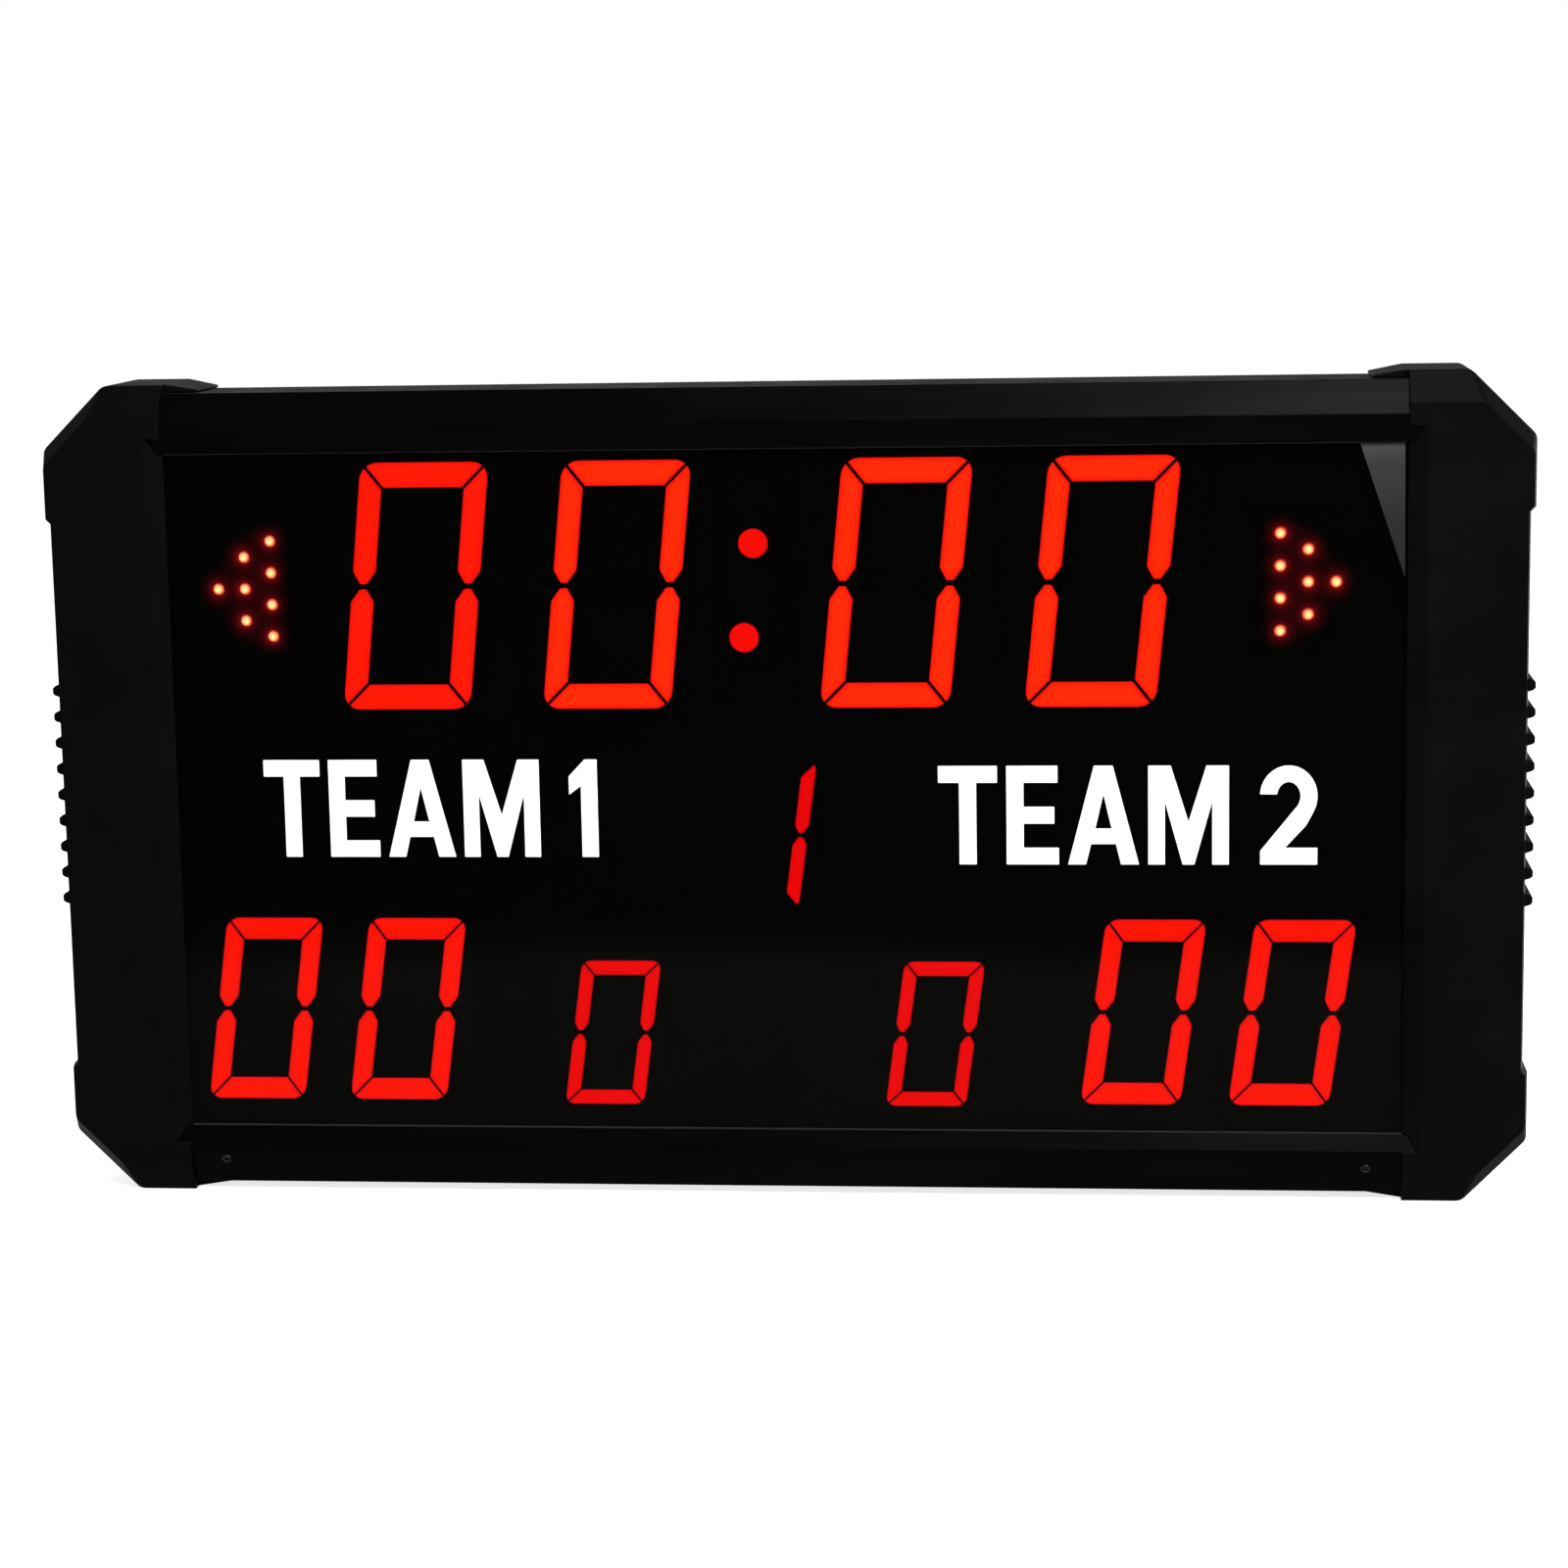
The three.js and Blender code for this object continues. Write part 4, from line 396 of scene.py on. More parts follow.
def circuit_board(name, plate_front, pads=(0.34, 0.33, 0.3)):
    """Solder mask with traces on the plate; parts that stand off the plate are black with pale pins."""
    finish = Finish(name, Specular_IOR_Level=0.4)
    coordinates = finish.place()
    traces = finish.add("TexVoronoi", {"distance": "MANHATTAN", "feature": "DISTANCE_TO_EDGE"},
                        Vector=coordinates, Scale=190).outputs["Distance"]
    mask = finish.ramp(traces, [(0.06, (0.02, 0.085, 0.04)), (0.12, (0.01, 0.05, 0.024))])
    dots = finish.add("TexVoronoi", {"distance": "EUCLIDEAN"}, Vector=coordinates, Scale=240,
                      Randomness=0.25).outputs["Distance"]
    solder = finish.ramp(dots, [(0.13, 1.0), (0.17, 0.0)])
    plate = finish.mix(solder, mask, pads)
    depth = finish.axis("Y", coordinates)
    before = finish.math("LESS_THAN", depth, plate_front - PLATE_MARGIN * MM)
    behind = finish.math("GREATER_THAN", depth, plate_front + (BOARD_THICKNESS + PLATE_MARGIN) * MM)
    pins = finish.add("TexChecker", Vector=coordinates, Scale=780, Color1=(0.012, 0.012, 0.013),
                      Color2=(0.03, 0.03, 0.032)).outputs["Color"]
    finish.shade(Base_Color=finish.mix(finish.math("MAXIMUM", before, behind), plate, pins))
    finish.ramp(finish.noise(500), [(0.3, 0.35), (0.7, 0.5)], "Roughness")
    finish.bump(traces, 0.03, edge=0.1)
    return finish.material


def lit_segment(name, rim, core, strength):
    """Lit diffuser: redder and darker at its rim and warmer along its middle."""
    finish = Finish(name, Specular_IOR_Level=0.03, Emission_Strength=strength)
    share = finish.core()
    finish.ramp(share, [(0.0, tuple(0.55 * c for c in rim)), (0.35, rim), (1.0, core)], "Emission Color")
    finish.ramp(share, [(0.0, tuple(0.1 * c for c in rim)), (1.0, tuple(0.25 * c for c in core))],
                "Base Color")
    haze = finish.noise(260, 2)
    finish.ramp(haze, [(0.3, 0.3), (0.7, 0.42)], "Roughness")
    finish.bump(haze, 0.01)
    return finish.material


def unlit_segment(name):
    """Dark diffuser of a segment that is off."""
    finish = Finish(name, Specular_IOR_Level=0.01)
    finish.coat(finish.noise(260, 2), [(0.3, (0.0022, 0.0014, 0.0014)), (0.7, (0.003, 0.0018, 0.0018))],
                [(0.3, 0.5), (0.7, 0.6)], 0.01)
    return finish.material


def lamp_lens(name):
    """Point lamp: its lens is near white at the crown and red at the rim."""
    finish = Finish(name, Roughness=0.2, Specular_IOR_Level=0.3, Emission_Strength=9.0)
    share = finish.core()
    finish.ramp(share, [(0.0, (0.22, 0.012, 0.002)), (0.12, (0.42, 0.045, 0.016)), (0.26, (0.8, 0.2, 0.08)),
                        (0.44, (1.0, 0.5, 0.2)), (0.66, (1.0, 0.8, 0.3)), (0.9, (1.0, 0.9, 0.36))],
                "Emission Color")
    finish.ramp(share, [(0.0, (0.02, 0.0, 0.0)), (1.0, (0.2, 0.1, 0.05))], "Base Color")
    finish.bump(finish.noise(700, 2), 0.005)
    return finish.material


def painted_glow_film(name):
    """Thin sheet over the arrow lamps that carries their painted red glow, fading to clear."""
    finish = Finish(name, Specular_IOR_Level=0.01, Roughness=0.6, Emission_Strength=4.7)
    glow = finish.core()
    mottle = finish.noise(420, 3, 0.6)
    spread = finish.math("MULTIPLY_ADD", mottle, 0.04, glow)
    # Painted glow: red emission around each lamp, though the sheet is no lamp
    finish.ramp(spread, [(0.15, (0.12, 0.0016, 0.005)), (0.5, (0.4, 0.008, 0.006)),
                         (1.0, (0.9, 0.03, 0.006))], "Emission Color")
    finish.ramp(glow, [(0.0, (0.004, 0.0, 0.0)), (1.0, (0.02, 0.0, 0.0))], "Base Color")
    finish.ramp(glow, [(0.0, 0.0), (0.15, 0.3), (1.0, 0.3)], "Alpha")
    finish.bump(mottle, 0.004)
    return finish.material


def painted_reflection_finish(name):
    """Painted reflection on a thin sheet in the panel's corner: grey, paler towards the top."""
    finish = Finish(name, Specular_IOR_Level=0.1)
    level = finish.span(finish.axis("Z", finish.place()), *(z * MM for z in REFLECTION_TONE_HEIGHTS), end=0.9)
    clouds = finish.math("MULTIPLY_ADD", finish.noise(70, 4, 0.6), 0.2, level)
    # Painted reflection: grey tones that grow paler towards the top of the corner
    finish.ramp(clouds, [(0.1, 0.0055), (0.42, 0.0072), (0.62, 0.0122), (0.84, 0.0155), (1.0, 0.03)],
                "Base Color")
    finish.ramp(clouds, [(0.2, 0.5), (1.0, 0.7)], "Roughness")
    finish.bump(finish.noise(900, 3), 0.006)
    return finish.material


def ribbon_cable(name):
    """Flat grey ribbon with ridged wires."""
    finish = Finish(name, Specular_IOR_Level=0.3, Roughness=0.5)
    wires = finish.bands("X", RIBBON_PITCH)
    finish.ramp(wires, [(0.1, 0.16), (0.6, 0.3)], "Base Color")
    finish.bump(wires, 0.3)
    return finish.material


def insulated_lead(name, colour):
    """Round insulated lead with a slight waxy change of tone."""
    finish = Finish(name, Specular_IOR_Level=0.4)
    finish.coat(finish.noise(300, 3), [(0.3, tuple(0.75 * c for c in colour)), (0.7, colour)],
                [(0.3, 0.35), (0.7, 0.5)], 0.02)
    return finish.material


def printing_ink(name, colour):
    """Screen-printed ink: opaque, slightly uneven, with the mesh's fine grain."""
    finish = Finish(name, Specular_IOR_Level=0.25)
    finish.ramp(finish.noise(120, 5, 0.6), [(0.3, 0.9 * colour), (0.7, colour)], "Base Color")
    grain = finish.noise(3500, 2)
    finish.ramp(grain, [(0.3, 0.55), (0.7, 0.7)], "Roughness")
    finish.bump(grain, 0.006)
    return finish.material


cap_plastic = textured_plastic("cap_plastic_textured", (0.0008, 0.0008, 0.0007), (0.0019, 0.0019, 0.0017),
                               rough=0.42, grain=0.55, relief=0.035, gloss=0.013, edge=0.7)
housing_plastic = textured_plastic("display_housing_black", 0.0016, 0.0024,
                                   rough=0.75, grain=0.7, relief=0.02, gloss=0.01, edge=0.2)
control_plastic = textured_plastic("control_black_satin", (0.012, 0.012, 0.0125), (0.017, 0.017, 0.0175),
                                   rough=0.4, grain=0.4, relief=0.012, gloss=0.4, edge=0.25)
button_plastic = textured_plastic("button_red_satin", (0.3, 0.012, 0.01), (0.38, 0.018, 0.014),
                                  rough=0.36, grain=0.4, relief=0.01, gloss=0.4, edge=0.3)
rail_metal = extruded_metal("rail_metal_satin", 0.0006, (0.0015, 0.0016, 0.0016), rough=0.28)
cover_metal = powder_coat("cover_powder_coat", (0.006, 0.006, 0.0062), (0.01, 0.01, 0.0103),
                          rough=0.5, gloss=0.12)
foot_metal = powder_coat("foot_powder_coat", (0.005, 0.005, 0.0052), (0.009, 0.009, 0.0092),
                         rough=0.46, gloss=0.15)
screw_metal = blackened_steel("screw_black_steel", (0.007, 0.007, 0.0072), rough=0.42)
pin_steel = turned_steel("pin_turned_steel")
gasket_rubber = soft_rubber("gasket_soft_rubber", 0.006, (0.01, 0.01, 0.0098))
pad_rubber = soft_rubber("pad_ribbed_rubber", 0.01, (0.018, 0.018, 0.0175), ribs=PAD_RIB_PITCH)
antenna_rubber = soft_rubber("antenna_sleeve_rubber", 0.008, 0.013)
smoked_panel = smoked_acrylic("smoked_panel_polished")
mask_plastic = flat_sheet("mask_flat_black")
cable_plastic = ribbon_cable("cable_grey_ribbon")
lead_plastic = insulated_lead("lead_red_insulation", (0.24, 0.012, 0.01))
clock_light = lit_segment("segment_light_clock", (0.95, 0.0075, 0.0035), (1.0, 0.024, 0.0018), 4.0)
clock_red_light = lit_segment("segment_light_clock_red", (0.93, 0.005, 0.0035), (0.98, 0.0105, 0.0014),
                              3.95)
colon_light = lit_segment("segment_light_colon", (0.92, 0.0025, 0.0035), (0.95, 0.0035, 0.0004), 3.9)
score_light = lit_segment("segment_light_score", (0.9, 0.004, 0.005), (0.97, 0.007, 0.0006), 3.9)
small_light = lit_segment("segment_light_small", (0.8, 0.0008, 0.002), (0.87, 0.0012, 0.0018), 3.65)
segment_off = unlit_segment("segment_unlit")
lamp_light = lamp_lens("arrow_lamp_light")
painted_lamp_glow = painted_glow_film("arrow_glow_film")
painted_reflection_look = painted_reflection_finish("corner_film_remnant")
legend_ink = printing_ink("legend_white_ink", 0.86)


def dress(material, *names):
    for name in names:
        for slot in nodes[name].material_slots:
            slot.material = material


def dress_board(name, plate_first, **looks):
    """A board's plate is its thin layer on the side away from its parts."""
    low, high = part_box(name)
    plate_front = low.y if plate_first else high.y - BOARD_THICKNESS * MM
    dress(circuit_board(name + "_laminate", plate_front, **looks), name)


dress(cap_plastic, "left_end_cap", "right_end_cap")
dress(rail_metal, "top_rail", "bottom_rail")
dress(cover_metal, "back_cover")
dress(foot_metal, "left_stand_foot", "right_stand_foot", "left_foot_bracket", "right_foot_bracket")
dress(pad_rubber, "left_foot_pad", "right_foot_pad")
dress(pin_steel, "left_foot_pin", "right_foot_pin")
dress(gasket_rubber, "top_panel_gasket", "bottom_panel_gasket")
dress(smoked_panel, "front_panel")
dress(mask_plastic, "display_mask")
dress(control_plastic, "horn", "power_switch_housing", "power_rocker", "power_jack",
      "pairing_button_housing")
dress(button_plastic, "pairing_button")
dress(antenna_rubber, "receiver_antenna")
dress(cable_plastic, "clock_cable", "score_cable")
dress(lead_plastic, "jack_lead", "supply_lead", "horn_lead")
dress(screw_metal, *[name for name in nodes if "screw" in name])
for board in ("clock_board", "score_board"):
    dress_board(board, plate_first=True, pads=(0.02, 0.02, 0.019))
for board in ("main_board", "regulator_board", "receiver_module"):
    dress_board(board, plate_first=False)


# Mesh making

def placed(name, data):
    """A new object in the scene."""
    thing = bpy.data.objects.new(name, data)
    bpy.context.scene.collection.objects.link(thing)
    return thing


def mesh_piece(name, verts, faces, materials, face_slots=None, core=None):
    """A finished piece at the origin, with its place in its mesh."""
    mesh = bpy.data.meshes.new(name)
    mesh.from_pydata([tuple(v) for v in verts], [], faces)
    for material in materials:
        mesh.materials.append(material)
    if face_slots:
        mesh.polygons.foreach_set("material_index", face_slots)
    if core is not None:
        attribute = mesh.attributes.new("core", "FLOAT", "POINT")
        attribute.data.foreach_set("value", core)
    mesh.validate()
    mesh.update()
    return placed(name, mesh)


class Build:
    """Collects the vertices and faces of one piece."""

    def __init__(self):
        self.verts, self.faces, self.slots, self.core = [], [], [], []

    def ring(self, points, core=0.0):
        start = len(self.verts)
        self.verts += [Vector(p) for p in points]
        self.core += [core] * len(points)
        return list(range(start, start + len(points)))

    def face(self, ring, slot=0):
        self.faces.append(list(ring))
        self.slots.append(slot)

    def bridge(self, near, far, slot=0):
        for i in range(len(near)):
            j = (i + 1) % len(near)
            self.face([near[i], near[j], far[j], far[i]], slot)

    def piece(self, name, materials):
        return mesh_piece(name, self.verts, self.faces, materials, self.slots, self.core)


def signed_area(outline):
    return sum(a[0] * b[1] - b[0] * a[1] for a, b in zip(outline, outline[1:] + outline[:1])) / 2


def turned_left(outline):
    """The outline with its inside on the left of every edge."""
    return outline if signed_area(outline) > 0 else outline[::-1]


def round_outline(radius, sides):
    return [(radius * math.cos(i * math.tau / sides), radius * math.sin(i * math.tau / sides))
            for i in range(sides)]


def inset(outline, distance):
    """Every edge moved inwards by the same distance."""
    moved = []
    count = len(outline)
    for i in range(count):
        before, here, after = outline[i - 1], outline[i], outline[(i + 1) % count]
        first = (Vector(here) - Vector(before)).normalized()
        second = (Vector(after) - Vector(here)).normalized()
        normal = Vector((-first.y, first.x)) + Vector((-second.y, second.x))
        share = distance / max(SHARP_CORNER_SHARE, (1 + first.dot(second)) / 2)
        moved.append((here[0] + normal.x / 2 * share, here[1] + normal.y / 2 * share))
    return moved


# Digits

def mirrored(outline, across, up):
    return [(x * across, z * up) for x, z in outline]


def segment_outlines(face):
    """Outlines a, d, b, f, c, e and g of one digit face about its centre, before it leans."""
    right, top = face["width"] / 2, face["height"] / 2
    bar, stroke, bend, gap = face["bar"], face["stroke"], face["round"], face["tip_gap"]
    mitre = face["split"] * math.sqrt(0.5)
    split_angle = face["split"] / 2 / bend

    def on_corner(angle):
        return right - bend + bend * math.cos(angle), top - bend + bend * math.sin(angle)

    def arc(share):
        side = math.copysign(split_angle, share)
        return on_corner(math.pi / 4 + share * (math.pi / 4 - split_angle) + side)

    def near_split(side):
        return on_corner(math.pi / 4 + side * split_angle)

    half = [near_split(1), arc(0.25), arc(0.5), arc(0.75), arc(1)]
    upper = [(right - stroke - mitre, top - bar), *half, *mirrored(half, -1, 1)[::-1],
             (stroke + mitre - right, top - bar)]
    tip = stroke * TIP_WIDTH_SHARE / 2
    shoulder = gap / 2 + stroke * TAPER_SHARE
    side = [(right - stroke, top - bar - mitre), (right - stroke, shoulder),
            (right - stroke / 2 - tip, gap / 2), (right - stroke / 2 + tip, gap / 2), (right, shoulder),
            arc(-1), arc(-0.75), arc(-0.5), arc(-0.25), near_split(-1)]
    end = right - stroke / 2 - tip - gap
    middle = [(end, 0), (end - bar / 2, bar / 2), (bar / 2 - end, bar / 2), (-end, 0),
              (bar / 2 - end, -bar / 2), (end - bar / 2, -bar / 2)]
    return {
        "a": upper, "d": mirrored(upper, 1, -1), "b": side, "f": mirrored(side, -1, 1),
        "c": mirrored(side, 1, -1), "e": mirrored(side, -1, -1), "g": middle,
    }


def module_housing(build, low, high, face_y, fill=0.0):
    """Black module body with softened edges; fill widens it in its window, against light from behind."""
    soft = HOUSING_SOFT_EDGE * MM
    left, right, base, top = low.x - fill, high.x + fill, low.z - fill, high.z + fill
    corners = [(left, base), (right, base), (right, top), (left, top)]
    back = build.ring([(x, high.y, z) for x, z in corners])
    front = build.ring([(x, face_y + soft, z) for x, z in corners])
    inner = inset(corners, soft)
    face = build.ring([(x, face_y, z) for x, z in inner])
    build.face(back[::-1])
    build.bridge(back, front)
    build.bridge(front, face)
    build.face(face)


def raised_light(build, outline, centre_x, centre_z, face_y, front_y, core_width, slot):
    """A diffuser that stands out of the module: rim, flat band and warm middle."""
    outline = turned_left(outline)
    foot_y, rim_y = face_y + RIM_DEPTH * MM, front_y + RIM_DEPTH * MM
    steps = [(0, foot_y), (0, rim_y), (RIM_WIDTH * RIM_STEP_SHARE, front_y), (RIM_WIDTH, front_y),
             (core_width, front_y)]
    rings = []
    for (distance, y), core in zip(steps, WARMTHS):
        moved = inset(outline, distance) if distance else outline
        rings.append(build.ring([(centre_x + x * MM, y, centre_z + z * MM) for x, z in moved], core))
    build.face(rings[0][::-1], slot)
    for near, far in zip(rings, rings[1:]):
        build.bridge(near, far, slot)
    build.face(rings[-1], slot)


def digit_module(node, face, lit, light):
    low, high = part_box(node)
    centre_x, centre_z = (low.x + high.x) / 2, (low.z + high.z) / 2
    face_y, front_y = low.y + SEGMENT_RISE * MM, low.y
    lean = math.tan(math.radians(face["slant"]))
    build = Build()
    module_housing(build, low, high, face_y, HOUSING_FILL * MM)
    for letter, outline in segment_outlines(face).items():
        leaning = [(x + z * lean, z) for x, z in outline]
        raised_light(build, leaning, centre_x, centre_z, face_y, front_y,
                     face["stroke"] * CORE_SHARE, 1 if letter in lit else 2)
    piece = build.piece(node + "_lit", [housing_plastic, light, segment_off])
    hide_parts(node)
    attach(piece, "case")


def colon_piece():
    low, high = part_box("colon_module")
    centre_x, centre_z = (low.x + high.x) / 2, (low.z + high.z) / 2
    face_y, front_y = low.y + SEGMENT_RISE * MM, low.y
    build = Build()
    module_housing(build, low, high, face_y, HOUSING_FILL * MM)
    for side in (-1, 1):
        circle = [(side * DOT_OFFSET + x, side * DOT_SPACING / 2 + z)
                  for x, z in round_outline(DOT_RADIUS, DOT_SIDES)]
        raised_light(build, circle, centre_x, centre_z, face_y, front_y, DOT_RADIUS * DOT_CORE_SHARE, 1)
    piece = build.piece("colon_module_lit", [housing_plastic, colon_light])
    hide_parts("colon_module")
    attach(piece, "case")


ZERO, ONE = "abcdef", "bc"
digit_module("clock_digit_1", CLOCK_FACE, ZERO, clock_red_light)
for place in (2, 3, 4):
    digit_module(f"clock_digit_{place}", CLOCK_FACE, ZERO, clock_light)
for place in ("left_score_digit_1", "left_score_digit_2", "right_score_digit_1", "right_score_digit_2"):
    digit_module(place, SCORE_FACE, ZERO, score_light)
digit_module("left_foul_digit", SMALL_FACE, ZERO, small_light)
digit_module("right_foul_digit", SMALL_FACE, ZERO, small_light)
digit_module("period_digit", SMALL_FACE, ONE, small_light)
colon_piece()


# Repeats by Geometry Nodes

class Repeat(NodeTree):
    """A Geometry Nodes tree with named inputs that puts one part on many places."""

    def __init__(self, name, sizes):
        super().__init__(bpy.data.node_groups.new(name, "GeometryNodeTree"))
        new = self.tree.interface.new_socket
        new("Places", in_out="INPUT", socket_type="NodeSocketGeometry")
        self.named = {}
        for size in sizes:
            self.named[size] = new(size, in_out="INPUT", socket_type="NodeSocketFloat").identifier
        self.named["Finish"] = new("Finish", in_out="INPUT", socket_type="NodeSocketMaterial").identifier
        new("Piece", in_out="OUTPUT", socket_type="NodeSocketGeometry")
        self.given = self.tree.nodes.new("NodeGroupInput")
        self.result = self.tree.nodes.new("NodeGroupOutput")

    def put(self, socket, value):
        """As for any node; a text names one of the tree's own inputs."""
        super().put(socket, self.given.outputs[value] if isinstance(value, str) else value)

    def vector(self, **parts):
        return self.add("CombineXYZ", **parts).outputs["Vector"]

    def moved(self, geometry, along=(0, 0, 0), turn=(0, 0, 0), scale=(1, 1, 1)):
        node = self.add("GeometryNodeTransform", Geometry=geometry, Translation=along, Rotation=turn,
                        Scale=scale)
        return node.outputs["Geometry"]

    def cylinder(self, sides, radius, depth):
        node = self.add("GeometryNodeMeshCylinder", {"fill_type": "NGON"}, Vertices=sides, Radius=radius,
                        Depth=depth)
        return node.outputs["Mesh"]

    def united(self, *parts):
        """The parts made one closed body."""
        node = self.add("GeometryNodeMeshBoolean", {"operation": "UNION"})
        for part in parts:
            self.put(node.inputs["Mesh 2"], part)
        return node.outputs["Mesh"]

    def cut(self, body, *tools):
        node = self.add("GeometryNodeMeshBoolean", {"operation": "DIFFERENCE"}, Mesh_1=body)
        for tool in tools:
            self.put(node.inputs["Mesh 2"], tool)
        return node.outputs["Mesh"]

    def finish(self, part):
        """One copy of the part on each place, made real and given its finish."""
        copies = self.add("GeometryNodeInstanceOnPoints", Points="Places", Instance=part)
        real = self.add("GeometryNodeRealizeInstances", Geometry=copies.outputs["Instances"])
        coated = self.add("GeometryNodeSetMaterial", Geometry=real.outputs["Geometry"], Material="Finish")
        self.put(self.result.inputs["Piece"], coated.outputs["Geometry"])

    def make(self, name, places, material, **sizes):
        """The piece that the tree makes on these places, as a plain mesh."""
        carrier = mesh_piece(name + "_places", places, [], [])
        modifier = carrier.modifiers.new("repeat", "NODES")
        modifier.node_group = self.tree
        modifier[self.named["Finish"]] = material
        for size, value in sizes.items():
            modifier[self.named[size.replace("_", " ")]] = value
        evaluated = carrier.evaluated_get(bpy.context.evaluated_depsgraph_get())
        mesh = bpy.data.meshes.new_from_object(evaluated)
        mesh.name = name
        bpy.data.objects.remove(carrier)
        return placed(name, mesh)


def lamp_tree():
    """A round lamp with a domed lens towards the viewer and a collar at its board."""
    tree = Repeat("arrow lamps", ["Radius", "Dome height", "Length", "Collar radius", "Collar depth"])
    upright = (math.pi / 2, 0, 0)
    body_length = tree.math("SUBTRACT", "Length", "Dome height")
    start = tree.math("MULTIPLY", "Collar depth", 0.5)
    body = tree.cylinder(LAMP_SIDES, "Radius", tree.math("SUBTRACT", body_length, start))
    middle = tree.math("MULTIPLY", tree.math("ADD", body_length, start), -0.5)
    body = tree.moved(body, tree.vector(Y=middle), upright)
    dome = tree.add("GeometryNodeMeshUVSphere", Segments=LAMP_SIDES, Rings=LENS_RINGS, Radius=1.0)
    dome = tree.moved(dome.outputs["Mesh"], turn=upright)
    sunk = tree.math("MULTIPLY", "Dome height", LENS_SINK_SHARE)
    girth = tree.math("MULTIPLY", "Radius", LENS_GIRTH_SHARE)
    dome = tree.moved(dome, tree.vector(Y=tree.math("SUBTRACT", sunk, body_length)),
                      scale=tree.vector(X=girth, Y=tree.math("ADD", "Dome height", sunk), Z=girth))
    collar = tree.cylinder(LAMP_SIDES, "Collar radius", "Collar depth")
    collar = tree.moved(collar, tree.vector(Y=tree.math("MULTIPLY", "Collar depth", -0.5)), upright)
    lamp = tree.united(body, dome, collar)
    place = tree.add("SeparateXYZ", Vector=tree.add("GeometryNodeInputPosition").outputs["Position"])
    across = tree.math("MULTIPLY", place.outputs["X"], place.outputs["X"])
    height = tree.math("MULTIPLY", place.outputs["Z"], place.outputs["Z"])
    away = tree.math("SQRT", tree.math("ADD", across, height))
    core = tree.math("SUBTRACT", 1.0, tree.math("DIVIDE", away, "Radius"))
    front = tree.math("LESS_THAN", place.outputs["Y"], tree.math("MULTIPLY", body_length, -1.0))
    stored = tree.add("GeometryNodeStoreNamedAttribute", {"data_type": "FLOAT", "domain": "POINT"},
                      Geometry=lamp, Value=tree.math("MULTIPLY", core, front))
    stored.inputs["Name"].default_value = "core"
    tree.finish(stored.outputs["Geometry"])
    return tree


def screw_tree():
    """A pan-head screw along Y with its head towards +Y and a cross recess."""
    tree = Repeat("pan head screws", ["Head radius", "Head height", "Shank radius", "Length", "Recess width",
                                      "Recess depth", "Recess span"])
    crown = tree.add("GeometryNodeMeshCone", {"fill_type": "NGON"}, Vertices=HEAD_SIDES,
                     Radius_Top=tree.math("MULTIPLY", "Head radius", CROWN_TOP_SHARE),
                     Radius_Bottom=tree.math("MULTIPLY", "Head radius", CROWN_BASE_SHARE),
                     Depth=tree.math("MULTIPLY", "Head height", CROWN_DEPTH_SHARE))
    start = tree.math("MULTIPLY", "Head height", CROWN_START_SHARE)
    crown = tree.moved(crown.outputs["Mesh"], tree.vector(Z=start))
    brim = tree.cylinder(HEAD_SIDES, "Head radius", tree.math("MULTIPLY", "Head height", BRIM_DEPTH_SHARE))
    brim = tree.moved(brim, tree.vector(Z=tree.math("MULTIPLY", "Head height", BRIM_DEPTH_SHARE / 2)))
    sunk = tree.math("MULTIPLY", "Head height", SHANK_SINK_SHARE)
    shank = tree.cylinder(SHANK_SIDES, "Shank radius", tree.math("ADD", "Length", sunk))
    middle = tree.math("MULTIPLY", tree.math("SUBTRACT", sunk, "Length"), 0.5)
    shank = tree.moved(shank, tree.vector(Z=middle))
    slots = []
    for across, upright, deeper in (("Recess span", "Recess width", 1.0),
                                    ("Recess width", "Recess span", SECOND_SLOT_SHARE)):
        depth = tree.math("MULTIPLY", "Recess depth", deeper)
        slot = tree.add("GeometryNodeMeshCube", Size=tree.vector(X=across, Y=upright, Z=depth))
        slots.append(tree.moved(slot.outputs["Mesh"], tree.vector(Z="Head height")))
    screw = tree.cut(tree.united(crown, brim, shank), *slots)
    tree.finish(tree.moved(screw, turn=(-math.pi / 2, 0, 0)))
    return tree


def arrow(lamp_maker, side, base, direction):
    """A lamp board and its eight lamps, which stand in the place of the solid board."""
    node = side + "_arrow_board"
    low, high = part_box(node)
    plate_front = high.y - BOARD_THICKNESS * MM
    level = (low.z + high.z) / 2
    build = Build()
    module_housing(build, Vector((low.x, plate_front, low.z)), high, plate_front)
    board = build.piece(node + "_plate", [circuit_board(node + "_laminate", plate_front)])
    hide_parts(node)
    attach(board, "case")
    places = [((base + direction * column * COLUMN_PITCH) * MM, plate_front,
               level + (i - (count - 1) / 2) * LAMP_PITCH * MM)
              for column, count in enumerate(LAMP_COLUMNS) for i in range(count)]
    lamps = lamp_maker.make(side + "_arrow_lamps", places, lamp_light, Radius=LAMP_RADIUS * MM,
                            Dome_height=LAMP_DOME * MM, Length=plate_front - low.y,
                            Collar_radius=LAMP_RADIUS * COLLAR_SHARE * MM, Collar_depth=COLLAR_DEPTH * MM)
    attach(lamps, "case")
    painted_glow_sheet(side, places)


